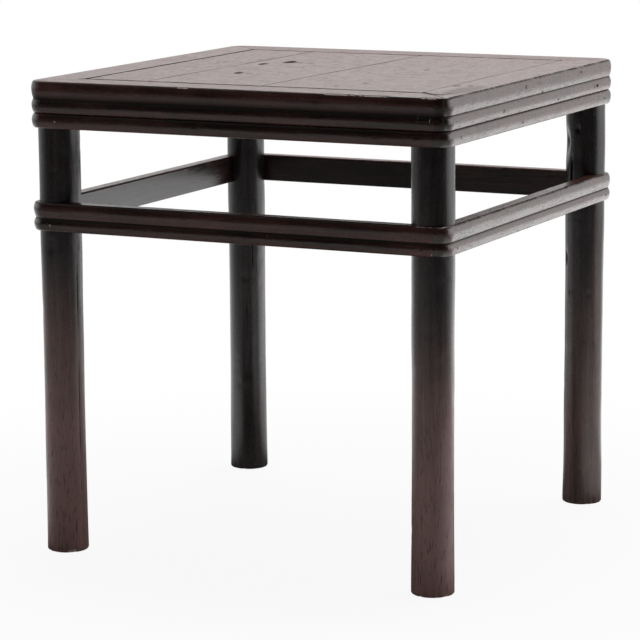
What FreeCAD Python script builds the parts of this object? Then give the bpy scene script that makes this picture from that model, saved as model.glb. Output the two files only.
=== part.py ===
import FreeCAD, Part
import os

# A square eight immortals table in lacquered hardwood: four round legs, four stretchers that
# wrap round the legs, a mitred top frame with a floating panel, and an edge strip stacked
# under the frame so that the top reads as three reeds.
# Millimetres, +Z up, origin on the floor under the middle of the table.
# The front is -Y and the right side is +X.

# Overall sizes
TABLE_HEIGHT = 850.0
TABLE_WIDTH = 807.0
TABLE_DEPTH = 807.0

# Round legs
LEG_WAIST_DIAMETER = 72.0
LEG_WAIST_HEIGHT = 300.0
LEG_TOP_SWELL = 2.0
LEG_FOOT_SWELL = 3.0
LEG_STRAIGHT_BELOW_JOINT = 40.0
FOOT_CHAMFER = 2.5

# Reeds, the rounded mouldings that run round the table
REED_SAGITTA = 3.4
REED_OVERHANG = 6.5
CORNER_RADIUS = 32.0
SEAM_FROM_CORNER = 25.0

# Top frame
FRAME_WIDTH = 79.5
FRAME_UPPER_REED = 31.5
FRAME_LOWER_REED = 25.0
FRAME_TENON_WIDTH = 25.0
FRAME_TENON_THICKNESS = 14.0
FRAME_TENON_FROM_CORNER = 28.5

# Edge strip under the frame
STRIP_HEIGHT = 26.5
STRIP_THICKNESS = 30.0

# Stretchers
STRETCHER_UPPER_REED = 28.5
STRETCHER_LOWER_REED = 22.5
STRETCHER_THICKNESS = 30.0
STRETCHER_DROP = 214.0
STRETCHER_INNER_BEVEL = 3.0
STRETCHER_TENON_THICKNESS = 10.0
STRETCHER_TENON_INNER_SHOULDER = 1.5
STRETCHER_TENON_TOP_SHOULDER = 6.0

# Joints between the legs and what wraps round them
WRAP_SKIN = 15.0
CROSSED_TENON_GAP = 2.0
LONG_TENON_COVER = 6.0
LEG_TENON_SIDE = 14.0
LEG_LONG_TENON = 34.0
LEG_SHORT_TENON = 10.0
LEG_TENON_COVER = 4.0
MITRE_LAND = 4.0

# Panel of three boards
PANEL_THICKNESS = 20.0
NARROW_BOARD_WIDTH = 124.0
MIDDLE_BOARD_WIDTH = 227.0
NARROW_BOARD_TAPER = 12.0
MIDDLE_BOARD_TAPER = 20.0
BOARD_TONGUE_LENGTH = 6.0
BOARD_TONGUE_THICKNESS = 6.0
BOARD_TONGUE_DEPTH = 6.0
BOARD_TONGUE_STOP = 12.0
PANEL_GROOVE_DEPTH = 10.0
PANEL_TONGUE_THICKNESS = 8.0
PANEL_TONGUE_DEPTH = 8.0
PANEL_TONGUE_TIP_GAP = 1.5
PANEL_SHRINKAGE = 3.0

# Battens under the panel
BATTEN_SPACING = 330.0
BATTEN_WIDTH = 36.0
BATTEN_DEPTH = 32.0
BATTEN_KEY_WIDTH = 24.0
BATTEN_KEY_FLARE = 2.5
BATTEN_KEY_HEIGHT = 6.0
BATTEN_KEY_TAPER = 4.0
BATTEN_TENON_LENGTH = 25.0
BATTEN_TENON_WIDTH = 24.0
BATTEN_TENON_HEIGHT = 16.0

# Split bamboo pegs, square in section
PEG_SIDE = 3.0
STRETCHER_PEG_LENGTH = 34.0
STRETCHER_PEG_FROM_CORNER = 46.5
STRIP_PEG_LENGTH = 30.0
STRIP_PEG_FROM_CORNER = 60.5

# Loose tenons between the edge strip and the frame
LOOSE_TENON_LENGTH = 30.0
LOOSE_TENON_THICKNESS = 8.0
LOOSE_TENON_DEPTH = 14.0
LOOSE_TENON_SPACING = 200.0
LOOSE_TENONS_PER_STRIP = 3

# Clearances
FIT_CLEARANCE = 0.15
PEG_CLEARANCE = 0.05
BLIND_HOLE_CLEARANCE = 1.0
SEAM_GAP = 0.3
BOARD_GAP = 0.5

# Worked out from the sizes above
HALF_WIDTH = TABLE_WIDTH / 2
HALF_DEPTH = TABLE_DEPTH / 2
LEG_TOP_DIAMETER = LEG_WAIST_DIAMETER + LEG_TOP_SWELL
LEG_FOOT_DIAMETER = LEG_WAIST_DIAMETER + LEG_FOOT_SWELL
LEG_INSET = LEG_TOP_DIAMETER / 2 + REED_OVERHANG
LEG_X = HALF_WIDTH - LEG_INSET
LEG_Y = HALF_DEPTH - LEG_INSET
NECK_HALF = LEG_INSET - WRAP_SKIN
FRAME_REEDS = (FRAME_LOWER_REED, FRAME_UPPER_REED)
STRIP_REEDS = (STRIP_HEIGHT,)
STRETCHER_REEDS = (STRETCHER_LOWER_REED, STRETCHER_UPPER_REED)
FRAME_BOTTOM = TABLE_HEIGHT - sum(FRAME_REEDS)
STRIP_BOTTOM = FRAME_BOTTOM - STRIP_HEIGHT
STRETCHER_TOP = TABLE_HEIGHT - STRETCHER_DROP
STRETCHER_BOTTOM = STRETCHER_TOP - sum(STRETCHER_REEDS)
PANEL_BOTTOM = TABLE_HEIGHT - PANEL_THICKNESS
OPENING_X = HALF_WIDTH - FRAME_WIDTH
OPENING_Y = HALF_DEPTH - FRAME_WIDTH
FRAME_TENON_BOTTOM = FRAME_BOTTOM + LEG_SHORT_TENON + LEG_TENON_COVER

# Each side: half its run and its distance from the middle, in quarter turns from the front
SIDES = {
    "front": (HALF_WIDTH, HALF_DEPTH),
    "right": (HALF_DEPTH, HALF_WIDTH),
    "back": (HALF_WIDTH, HALF_DEPTH),
    "left": (HALF_DEPTH, HALF_WIDTH),
}
FRONT_AND_BACK = ("front", "back")

# Each corner: the sign of its X and of its Y
CORNERS = {
    "front_left": (-1, -1),
    "front_right": (1, -1),
    "back_left": (-1, 1),
    "back_right": (1, 1),
}

# Each batten: the sign of its Y and the end from which it is driven
BATTENS = {"front": (-1, 1), "back": (1, -1)}


def polygon_prism(points, bottom, top):
    """A prism from plan points (x, y) between two heights."""
    corners = [FreeCAD.Vector(x, y, bottom) for x, y in points]
    face = Part.Face(Part.makePolygon(corners + corners[:1]))
    return face.extrude(FreeCAD.Vector(0, 0, top - bottom))


def block(x_range, y_range, z_range):
    """A box between sorted limits along each axis."""
    (x0, x1), (y0, y1), (z0, z1) = sorted(x_range), sorted(y_range), sorted(z_range)
    return Part.makeBox(x1 - x0, y1 - y0, z1 - z0, FreeCAD.Vector(x0, y0, z0))


def joined(shapes):
    """One solid from shapes that meet, without the seams between them."""
    return shapes[0].fuse(shapes[1:]).removeSplitter()


def turned(shape, side):
    """A shape built on the front side, turned to another side of the table."""
    quarter_turns = list(SIDES).index(side)
    copy = shape.copy()
    copy.rotate(FreeCAD.Vector(0, 0, 0), FreeCAD.Vector(0, 0, 1), 90 * quarter_turns)
    return copy


def reed_section(x, outer_y, bottom, thickness, reeds, inner_bevel):
    """Upright section of a bar with reeds of given heights, from the lowest up: arcs outside, else flat."""
    def point(inward, rise):
        return FreeCAD.Vector(x, outer_y + inward, bottom + rise)

    edges = []
    height = 0.0
    for reed_height in reeds:
        start = point(REED_SAGITTA, height)
        crown = point(0, height + reed_height / 2)
        height += reed_height
        edges.append(Part.Arc(start, crown, point(REED_SAGITTA, height)).toShape())
    back = [point(REED_SAGITTA, height), point(thickness - inner_bevel, height)]
    if inner_bevel > 0:
        back.append(point(thickness, height - inner_bevel))
    back += [point(thickness, 0), point(REED_SAGITTA, 0)]
    edges += Part.makePolygon(back).Edges
    return Part.Face(Part.Wire(edges))


def reeded_bar(half_run, outer_distance, bottom, thickness, reeds, inner_bevel, corner_turn):
    """A bar along X on the front side, with its reeds carried round both plan corners by some degrees."""
    end = half_run - CORNER_RADIUS
    section = reed_section(-end, -outer_distance, bottom, thickness, reeds, inner_bevel)
    pieces = [section.extrude(FreeCAD.Vector(2 * end, 0, 0))]
    for sign in (-1, 1):
        corner = reed_section(sign * end, -outer_distance, bottom, CORNER_RADIUS, reeds, 0.0)
        axis_point = FreeCAD.Vector(sign * end, CORNER_RADIUS - outer_distance, 0)
        pieces.append(corner.revolve(axis_point, FreeCAD.Vector(0, 0, 1), sign * corner_turn))
    return joined(pieces)


def wrapped_plan(half_run, outer_distance, thickness, holds_corner):
    """Plan of a bar that wraps the legs. The side bars hold the corner, the others stop at a seam."""
    neck_end = half_run - WRAP_SKIN
    shoulder = half_run - LEG_INSET - NECK_HALF
    if holds_corner:
        end = [(half_run, 0), (half_run, SEAM_FROM_CORNER), (neck_end, WRAP_SKIN)]
    else:
        end = [(half_run - SEAM_FROM_CORNER - SEAM_GAP, 0), (neck_end - SEAM_GAP, WRAP_SKIN)]
    right = end + [(shoulder, WRAP_SKIN), (shoulder, thickness)]
    left = [(-run, inward) for run, inward in reversed(right)]
    return [(run, inward - outer_distance) for run, inward in right + left]


def wrapping_bar(side, bottom, thickness, reeds, inner_bevel=0.0):
    """A reeded bar trimmed to wrap the legs, still on the front side."""
    half_run, outer_distance = SIDES[side]
    bar = reeded_bar(half_run, outer_distance, bottom, thickness, reeds, inner_bevel, 90)
    plan = wrapped_plan(half_run, outer_distance, thickness, side not in FRONT_AND_BACK)
    return bar.common(polygon_prism(plan, bottom, bottom + sum(reeds)))


def stretcher_tenon_cheeks():
    """Inner and outer cheek of a stretcher's tenon, measured outwards from the leg's axis."""
    inner = LEG_INSET - STRETCHER_THICKNESS + STRETCHER_TENON_INNER_SHOULDER
    return inner, inner + STRETCHER_TENON_THICKNESS


def stretcher_tenon_end(side):
    """Where a stretcher's tenon ends past the leg's axis: long on the side stretchers, short else."""
    if side in FRONT_AND_BACK:
        return stretcher_tenon_cheeks()[0] - CROSSED_TENON_GAP
    return NECK_HALF - LONG_TENON_COVER


def stretcher_tenon_heights(clearance):
    """Lowest and highest level of a stretcher's tenon, opened by a clearance."""
    return (STRETCHER_BOTTOM + STRETCHER_TENON_TOP_SHOULDER - clearance,
            STRETCHER_TOP - STRETCHER_TENON_TOP_SHOULDER + clearance)


def peg_row(side, from_corner, height, length, clearance):
    """The pegs into both legs from one side of the table, or with a clearance their holes."""
    half_run, outer_distance = SIDES[side]
    half_side = PEG_SIDE / 2 + clearance
    depth = length + (BLIND_HOLE_CLEARANCE if clearance else 0.0)
    pegs = []
    for sign in (-1, 1):
        run = sign * (half_run - from_corner)
        peg = block((run - half_side, run + half_side), (-outer_distance, depth - outer_distance),
                    (height - half_side, height + half_side))
        pegs.append(turned(peg, side))
    return pegs


def stretcher_pegs(side, clearance=0.0):
    """Pegs through a stretcher's lower reed, its tenons and the legs."""
    crown = STRETCHER_BOTTOM + STRETCHER_LOWER_REED / 2
    return peg_row(side, STRETCHER_PEG_FROM_CORNER, crown, STRETCHER_PEG_LENGTH, clearance)


def strip_pegs(side, clearance=0.0):
    """Pegs through the ends of an edge strip into the legs' necks."""
    crown = STRIP_BOTTOM + STRIP_HEIGHT / 2
    return peg_row(side, STRIP_PEG_FROM_CORNER, crown, STRIP_PEG_LENGTH, clearance)


def loose_tenons(side, clearance=0.0):
    """Loose tenons between an edge strip and the rail above it, or with a clearance their mortises."""
    half_run, outer_distance = SIDES[side]
    half_length = LOOSE_TENON_LENGTH / 2 + clearance
    half_thickness = LOOSE_TENON_THICKNESS / 2 + clearance
    depth = LOOSE_TENON_DEPTH + (BLIND_HOLE_CLEARANCE if clearance else 0.0)
    middle_y = STRIP_THICKNESS / 2 - outer_distance
    first = -LOOSE_TENON_SPACING * (LOOSE_TENONS_PER_STRIP - 1) / 2
    tenons = []
    for index in range(LOOSE_TENONS_PER_STRIP):
        run = first + index * LOOSE_TENON_SPACING
        tenon = block((run - half_length, run + half_length),
                      (middle_y - half_thickness, middle_y + half_thickness),
                      (FRAME_BOTTOM - depth, FRAME_BOTTOM + depth))
        tenons.append(turned(tenon, side))
    return tenons


def make_stretcher(side):
    """A stretcher: two reeds outside, a bevelled flat inside, a tenon and a peg hole at each end."""
    half_run, outer_distance = SIDES[side]
    body = wrapping_bar(side, STRETCHER_BOTTOM, STRETCHER_THICKNESS, STRETCHER_REEDS,
                        STRETCHER_INNER_BEVEL)
    inner, outer = stretcher_tenon_cheeks()
    leg_run = half_run - LEG_INSET
    leg_distance = outer_distance - LEG_INSET
    pieces = [body]
    for sign in (-1, 1):
        run = (sign * (leg_run - NECK_HALF), sign * (leg_run + stretcher_tenon_end(side)))
        across = (-leg_distance - inner, -leg_distance - outer)
        pieces.append(block(run, across, stretcher_tenon_heights(0.0)))
    return turned(joined(pieces), side).cut(stretcher_pegs(side, PEG_CLEARANCE))


def make_strip(side):
    """An edge strip: one reed outside, with its peg holes and mortises."""
    body = wrapping_bar(side, STRIP_BOTTOM, STRIP_THICKNESS, STRIP_REEDS)
    return turned(body, side).cut(strip_pegs(side, PEG_CLEARANCE) + loose_tenons(side, FIT_CLEARANCE))


def corner_point(corner, outward_x, outward_y):
    """Plan point given by its distances from the leg's axis towards the two outer faces."""
    sign_x, sign_y = CORNERS[corner]
    return sign_x * (LEG_X + outward_x), sign_y * (LEG_Y + outward_y)


def corner_block(corner, outward_x, outward_y, heights):
    """A box at a corner, given by ranges measured from the leg's axis towards the outer faces."""
    x0, y0 = corner_point(corner, outward_x[0], outward_y[0])
    x1, y1 = corner_point(corner, outward_x[1], outward_y[1])
    return block((x0, x1), (y0, y1), heights)


def leg_tenons(corner, clearance=0.0):
    """The two tenons on a leg's top: long into the side rail, short into the front or back rail."""
    near = MITRE_LAND / 2 - clearance
    far = MITRE_LAND / 2 + LEG_TENON_SIDE + clearance
    room = BLIND_HOLE_CLEARANCE if clearance else 0.0
    long_heights = (FRAME_BOTTOM, FRAME_BOTTOM + LEG_LONG_TENON + room)
    short_heights = (FRAME_BOTTOM, FRAME_BOTTOM + LEG_SHORT_TENON + room)
    return [corner_block(corner, (near, far), (-far, -near), long_heights),
            corner_block(corner, (-far, -near), (near, far), short_heights)]


def leg_swell(point, low, high):
    """One smooth curve along a leg between two heights, narrowest at the waist."""
    waist = LEG_WAIST_DIAMETER / 2
    foot_root = (LEG_FOOT_SWELL / 2) ** 0.5
    top_root = (LEG_TOP_SWELL / 2) ** 0.5
    along = foot_root / (foot_root + top_root)
    ends_share = (1 - along) ** 2 * low + along ** 2 * high
    pole_height = (LEG_WAIST_HEIGHT - ends_share) / (2 * along * (1 - along))
    curve = Part.BezierCurve()
    curve.setPoles([point(LEG_FOOT_DIAMETER / 2, low), point(waist - foot_root * top_root, pole_height),
                    point(LEG_TOP_DIAMETER / 2, high)])
    return curve.toShape()


def round_leg(corner):
    """The turned leg: it narrows from the foot to the waist, swells again and is straight at the joints."""
    x, y = corner_point(corner, 0, 0)

    def point(radius, height):
        return FreeCAD.Vector(x + radius, y, height)

    foot = LEG_FOOT_DIAMETER / 2
    top = LEG_TOP_DIAMETER / 2
    straight_start = STRETCHER_BOTTOM - LEG_STRAIGHT_BELOW_JOINT
    rest = [point(top, straight_start), point(top, FRAME_BOTTOM), point(0, FRAME_BOTTOM), point(0, 0),
            point(foot - FOOT_CHAMFER, 0), point(foot, FOOT_CHAMFER)]
    outline = Part.makePolygon(rest).Edges + [leg_swell(point, FOOT_CHAMFER, straight_start)]
    face = Part.Face(Part.Wire(Part.__sortEdges__(outline)))
    return face.revolve(FreeCAD.Vector(x, y, 0), FreeCAD.Vector(0, 0, 1), 360)


def neck_waste(corner, bar_thickness, heights):
    """What is cut from the round leg where bars wrap it: two outer sides, and flats for the shoulders."""
    reach = LEG_INSET + LEG_FOOT_DIAMETER
    neck = NECK_HALF - FIT_CLEARANCE
    inner_face = LEG_INSET - bar_thickness - FIT_CLEARANCE
    kept = [(neck, neck), (-neck, neck), (-neck, inner_face), (-reach, inner_face),
            (-reach, -reach), (inner_face, -reach), (inner_face, -neck), (neck, -neck)]
    kept_prism = polygon_prism([corner_point(corner, a, b) for a, b in kept], *heights)
    return corner_block(corner, (-reach, reach), (-reach, reach), heights).cut(kept_prism)


def stretcher_mortises(corner):
    """Mortises for the short and the long stretcher tenon, which pass each other in the leg."""
    inner, outer = stretcher_tenon_cheeks()
    cheeks = (inner - FIT_CLEARANCE, outer + FIT_CLEARANCE)
    heights = stretcher_tenon_heights(FIT_CLEARANCE)
    short_run = (-NECK_HALF, stretcher_tenon_end("front") + FIT_CLEARANCE)
    long_run = (-NECK_HALF, stretcher_tenon_end("right") + FIT_CLEARANCE)
    return [corner_block(corner, short_run, cheeks, heights),
            corner_block(corner, cheeks, long_run, heights)]


def make_leg(corner):
    """A leg with its squared necks, mortises, peg holes and top tenons."""
    leg = round_leg(corner)
    waste = [neck_waste(corner, STRETCHER_THICKNESS, (STRETCHER_BOTTOM, STRETCHER_TOP)),
             neck_waste(corner, STRIP_THICKNESS, (STRIP_BOTTOM, FRAME_BOTTOM))]
    waste += stretcher_mortises(corner)
    for side in SIDES:
        if side in corner:
            waste += stretcher_pegs(side, PEG_CLEARANCE) + strip_pegs(side, PEG_CLEARANCE)
    return joined([leg.cut(waste)] + leg_tenons(corner))


def frame_bar(side):
    """A frame rail before its mitres, with its reeds carried round to the mitre lines."""
    half_run, outer_distance = SIDES[side]
    bar = reeded_bar(half_run, outer_distance, FRAME_BOTTOM, FRAME_WIDTH, FRAME_REEDS, 0.0, 45)
    return turned(bar, side)


def mitred_plan(side):
    """The wedge of plan that one rail keeps, up to the mitre lines."""
    half_run, outer_distance = SIDES[side]
    inner_run = half_run - FRAME_WIDTH
    inner_y = FRAME_WIDTH - outer_distance
    plan = [(-half_run, -outer_distance), (half_run, -outer_distance),
            (inner_run, inner_y), (-inner_run, inner_y)]
    return turned(polygon_prism(plan, FRAME_BOTTOM, TABLE_HEIGHT), side)


def frame_tenon(corner, clearance=0.0):
    """Through tenon of a side rail, a block from inside the mitre to beyond the front or back face."""
    outer = LEG_INSET - FRAME_TENON_FROM_CORNER
    run = (outer - FRAME_TENON_WIDTH - clearance, outer + clearance)
    heights = (FRAME_TENON_BOTTOM - clearance, FRAME_TENON_BOTTOM + FRAME_TENON_THICKNESS + clearance)
    return corner_block(corner, run, (-FRAME_WIDTH, FRAME_WIDTH), heights)


def panel_groove():
    """The flat space that all four panel grooves take up together."""
    reach_x = OPENING_X + PANEL_GROOVE_DEPTH
    reach_y = OPENING_Y + PANEL_GROOVE_DEPTH
    top = TABLE_HEIGHT - PANEL_TONGUE_DEPTH
    heights = (top - PANEL_TONGUE_THICKNESS - FIT_CLEARANCE, top + FIT_CLEARANCE)
    return block((-reach_x, reach_x), (-reach_y, reach_y), heights)


def make_rail(side):
    """A rail of the top frame. Side rails carry through tenons, front and back rails take them."""
    rail = frame_bar(side).common(mitred_plan(side))
    corners = [corner for corner in CORNERS if side in corner]
    waste = [panel_groove()] + loose_tenons(side, FIT_CLEARANCE)
    for corner in corners:
        waste += leg_tenons(corner, FIT_CLEARANCE)
    if side in FRONT_AND_BACK:
        waste += [frame_tenon(corner, FIT_CLEARANCE) for corner in corners]
        return rail.cut(waste)
    tenons = []
    for corner in corners:
        crossed = next(name for name in FRONT_AND_BACK if name in corner)
        passage = frame_bar(crossed).common(mitred_plan(crossed))
        tenons.append(frame_tenon(corner).common(passage))
    waste += batten_tenons(FIT_CLEARANCE)
    return joined([rail] + tenons).cut(waste)


def joint_lines():
    """The two joints between the boards, each as its middle X and its lean per millimetre of Y."""
    first = -OPENING_X + PANEL_SHRINKAGE + NARROW_BOARD_WIDTH
    second = first + MIDDLE_BOARD_WIDTH
    return [(first, NARROW_BOARD_TAPER / TABLE_DEPTH), (second, MIDDLE_BOARD_TAPER / TABLE_DEPTH)]


def slanted_prism(left, right, half_length, heights):
    """A prism between two lines in plan, each given as its middle X and its lean."""
    points = [(left[0] - left[1] * half_length, -half_length),
              (right[0] - right[1] * half_length, -half_length),
              (right[0] + right[1] * half_length, half_length),
              (left[0] + left[1] * half_length, half_length)]
    return polygon_prism(points, *heights)


def shifted(line, distance):
    """A joint line moved along X."""
    return line[0] + distance, line[1]


def make_boards():
    """The three boards: tongues all round for the frame, a tongue and a groove at each joint."""
    tongue_top = TABLE_HEIGHT - PANEL_TONGUE_DEPTH
    tongue_heights = (tongue_top - PANEL_TONGUE_THICKNESS, tongue_top)
    key_top = TABLE_HEIGHT - BOARD_TONGUE_DEPTH
    key_heights = (key_top - BOARD_TONGUE_THICKNESS, key_top)
    key_room = (key_heights[0] - FIT_CLEARANCE, key_heights[1] + FIT_CLEARANCE)
    reach = PANEL_GROOVE_DEPTH - PANEL_TONGUE_TIP_GAP
    body_half = OPENING_Y - BOARD_GAP
    tongue_half = OPENING_Y + reach
    first, second = joint_lines()
    half_gap = BOARD_GAP / 2
    faces = [((-OPENING_X + PANEL_SHRINKAGE, 0.0), shifted(first, -half_gap)),
             (shifted(first, half_gap), shifted(second, -half_gap)),
             (shifted(second, half_gap), (OPENING_X - BOARD_GAP, 0.0))]
    boards = []
    for index, (left, right) in enumerate(faces):
        pieces = [slanted_prism(left, right, body_half, (PANEL_BOTTOM, TABLE_HEIGHT))]
        tongue_left = (-OPENING_X - reach + PANEL_SHRINKAGE, 0.0) if index == 0 else left
        tongue_right = (OPENING_X + reach, 0.0) if index == 2 else right
        pieces.append(slanted_prism(tongue_left, tongue_right, tongue_half, tongue_heights))
        if index < 2:
            pieces.append(slanted_prism(shifted(right, -BOARD_TONGUE_LENGTH),
                                        shifted(right, BOARD_TONGUE_LENGTH),
                                        body_half - BOARD_TONGUE_STOP, key_heights))
        board = joined(pieces)
        if index > 0:
            groove = slanted_prism(shifted(left, -BOARD_TONGUE_LENGTH),
                                   shifted(left, BOARD_TONGUE_LENGTH + FIT_CLEARANCE),
                                   tongue_half + BOARD_TONGUE_STOP, key_room)
            board = board.cut(groove)
        boards.append(board.cut([batten_key(name, FIT_CLEARANCE) for name in BATTENS]))
    return boards


def batten_key(name, clearance=0.0):
    """The tapered dovetail on a batten's top, lofted between its wide and its narrow end."""
    sign_y, wide_end = BATTENS[name]
    middle = sign_y * BATTEN_SPACING / 2
    half_length = OPENING_X + (PANEL_GROOVE_DEPTH if clearance else -BOARD_GAP)
    top = PANEL_BOTTOM + BATTEN_KEY_HEIGHT + clearance
    bottom = PANEL_BOTTOM - (BATTEN_KEY_HEIGHT if clearance else 0.0)
    flare = BATTEN_KEY_FLARE / BATTEN_KEY_HEIGHT
    wires = []
    for end in (-1, 1):
        half_root = BATTEN_KEY_WIDTH / 2 + end * wide_end * half_length * BATTEN_KEY_TAPER / TABLE_WIDTH / 2
        half_top = half_root + clearance + flare * (top - PANEL_BOTTOM)
        half_bottom = half_root + clearance + flare * (bottom - PANEL_BOTTOM)
        outline = [(-half_bottom, bottom), (half_bottom, bottom), (half_top, top), (-half_top, top)]
        points = [FreeCAD.Vector(end * half_length, middle + y, z) for y, z in outline]
        wires.append(Part.makePolygon(points + points[:1]))
    return Part.makeLoft(wires, True, True)


def batten_tenons(clearance=0.0):
    """The tenons at both ends of both battens, or with a clearance their mortises."""
    room = BLIND_HOLE_CLEARANCE if clearance else 0.0
    middle_z = PANEL_BOTTOM - BATTEN_DEPTH / 2
    half_height = BATTEN_TENON_HEIGHT / 2 + clearance
    tenons = []
    for name in BATTENS:
        middle_y = BATTENS[name][0] * BATTEN_SPACING / 2
        half_width = BATTEN_TENON_WIDTH / 2 + clearance
        for sign in (-1, 1):
            run = (sign * (OPENING_X - BOARD_GAP), sign * (OPENING_X + BATTEN_TENON_LENGTH + room))
            tenons.append(block(run, (middle_y - half_width, middle_y + half_width),
                                (middle_z - half_height, middle_z + half_height)))
    return tenons


def make_batten(name):
    """A batten across the boards: body, sliding dovetail and a tenon at each end."""
    middle_y = BATTENS[name][0] * BATTEN_SPACING / 2
    half_run = OPENING_X - BOARD_GAP
    body = block((-half_run, half_run), (middle_y - BATTEN_WIDTH / 2, middle_y + BATTEN_WIDTH / 2),
                 (PANEL_BOTTOM - BATTEN_DEPTH, PANEL_BOTTOM))
    tenons = [tenon for tenon in batten_tenons() if tenon.CenterOfMass.y * middle_y > 0]
    return joined([body, batten_key(name)] + tenons)


def group(rows):
    """Separate identical solids kept together in one node."""
    return Part.makeCompound([solid for row in rows for solid in row])


def main():
    """Build every piece and write one file for each."""
    nodes = {}
    for corner in CORNERS:
        nodes["leg_" + corner] = make_leg(corner)
    for side in SIDES:
        nodes["top_rail_" + side] = make_rail(side)
        nodes["edge_strip_" + side] = make_strip(side)
        nodes["stretcher_" + side] = make_stretcher(side)
    for name, board in zip(("narrow", "middle", "wide"), make_boards()):
        nodes["panel_board_" + name] = board
    for name in BATTENS:
        nodes["panel_batten_" + name] = make_batten(name)
    nodes["stretcher_pegs"] = group(stretcher_pegs(side) for side in SIDES)
    nodes["edge_strip_pegs"] = group(strip_pegs(side) for side in SIDES)
    nodes["edge_strip_tenons"] = group(loose_tenons(side) for side in SIDES)
    os.makedirs("parts", exist_ok=True)
    for name, shape in nodes.items():
        shape.exportStep(os.path.join("parts", name + ".step"))
        print(name, len(shape.Solids), "solids", round(shape.Volume / 1000), "cm3", shape.isValid())


main()
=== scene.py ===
import logging
from dataclasses import dataclass, field, replace
from enum import Enum
from typing import Any, Sequence

import bpy
import numpy as np
from mathutils import Matrix, Vector


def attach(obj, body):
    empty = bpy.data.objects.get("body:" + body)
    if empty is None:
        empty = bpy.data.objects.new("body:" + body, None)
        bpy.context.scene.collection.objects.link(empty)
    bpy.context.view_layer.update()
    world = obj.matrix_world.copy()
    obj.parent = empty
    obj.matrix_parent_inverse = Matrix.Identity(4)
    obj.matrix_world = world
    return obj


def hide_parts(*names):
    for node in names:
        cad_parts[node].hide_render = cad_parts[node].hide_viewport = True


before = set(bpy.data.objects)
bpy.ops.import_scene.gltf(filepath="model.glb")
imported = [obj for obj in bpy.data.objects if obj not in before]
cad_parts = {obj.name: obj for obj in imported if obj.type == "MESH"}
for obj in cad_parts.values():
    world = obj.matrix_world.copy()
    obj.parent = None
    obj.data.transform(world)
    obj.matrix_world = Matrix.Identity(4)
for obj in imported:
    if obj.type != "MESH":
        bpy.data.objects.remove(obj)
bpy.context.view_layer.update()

# A square eight immortals table in worn dark lacquer, in metres: the floor is z = 0, the front is -Y.
# Each visible piece is a surface worked out on a grid, and stands for the solid of the same name.

log = logging.getLogger("table")
Array = np.ndarray
Pair = tuple[float, float]
Triple = tuple[float, float, float]


# Numbers

def smooth_step(low: float, high: float, values: Array) -> Array:
    """A ramp from 0 at low to 1 at high that starts and ends level.

    Args:
        low: Value at which the ramp starts.
        high: Value at which it ends, above or below low.
        values: Where it is wanted.

    Returns:
        3t^2 - 2t^3, with t the clipped share of the way from low to high.
    """
    share = np.clip((values - low) / (high - low), 0.0, 1.0)
    return share * share * (3.0 - 2.0 * share)


@dataclass(frozen=True)
class Ripple:
    """Unevenness left by hand planes: sine waves of many directions, added up.

    It has typical wave lengths along the first and the second surface length, and a largest height.
    """

    seed: int
    first: float
    second: float
    height: float
    waves: int = 10

    def at(self, along: Array, around: Array) -> Array:
        """Sum of sin(a * along + b * around + phase) over the waves, scaled and clipped to the height.

        Args:
            along: First surface length of each point.
            around: Second surface length of each point.

        Returns:
            Departure of each point, between minus and plus the height.
        """
        random = np.random.default_rng(self.seed)
        lengths = np.array([self.first, self.second])
        rates = 2 * np.pi * random.uniform(0.5, 1.6, (self.waves, 2)) / lengths
        rates *= random.choice([-1.0, 1.0], (self.waves, 2))
        phases = random.uniform(0, 2 * np.pi, self.waves)
        angle = along[..., None] * rates[:, 0] + around[..., None] * rates[:, 1] + phases
        total = np.sin(angle).sum(-1) / np.sqrt(self.waves)
        return self.height * np.clip(total, -1.0, 1.0)


@dataclass(frozen=True)
class Dent:
    """A rounded hollow: its middle and its reach along two surface lengths, and its depth."""

    along: float
    around: float
    length: float
    width: float
    depth: float

    def at(self, along: Array, around: Array) -> Array:
        """Share of the dent at each point: exp(-(da / length)^2 - (db / width)^2)."""
        first, second = (along - self.along) / self.length, (around - self.around) / self.width
        return np.exp(-first ** 2 - second ** 2)


def scattered_dents(seed: int, count: int, along: Pair, around: Pair, size: Pair,
                    depth: float) -> list[Dent]:
    """Small dents of daily use, spread evenly at random.

    Args:
        seed: Start of the random numbers.
        count: Number of dents.
        along: Range of the first surface length.
        around: Range of the second surface length.
        size: Smallest and largest reach.
        depth: Largest depth.

    Returns:
        The dents.
    """
    random = np.random.default_rng(seed)
    middles = random.uniform([along[0], around[0]], [along[1], around[1]], (count, 2))
    reaches = random.uniform(size[0], size[1], (count, 2))
    depths = depth * random.uniform(0.2, 1.0, count) ** 2
    return [Dent(a, b, length, width, deep)
            for (a, b), (length, width), deep in zip(middles, reaches, depths)]


def dent_depth(dents: Sequence[Dent], along: Array, around: Array) -> Array:
    """Sum of each dent's depth times its share at each point."""
    none = np.zeros(np.broadcast(along, around).shape)
    return sum((dent.depth * dent.at(along, around) for dent in dents), none)


# Meshes

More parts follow.
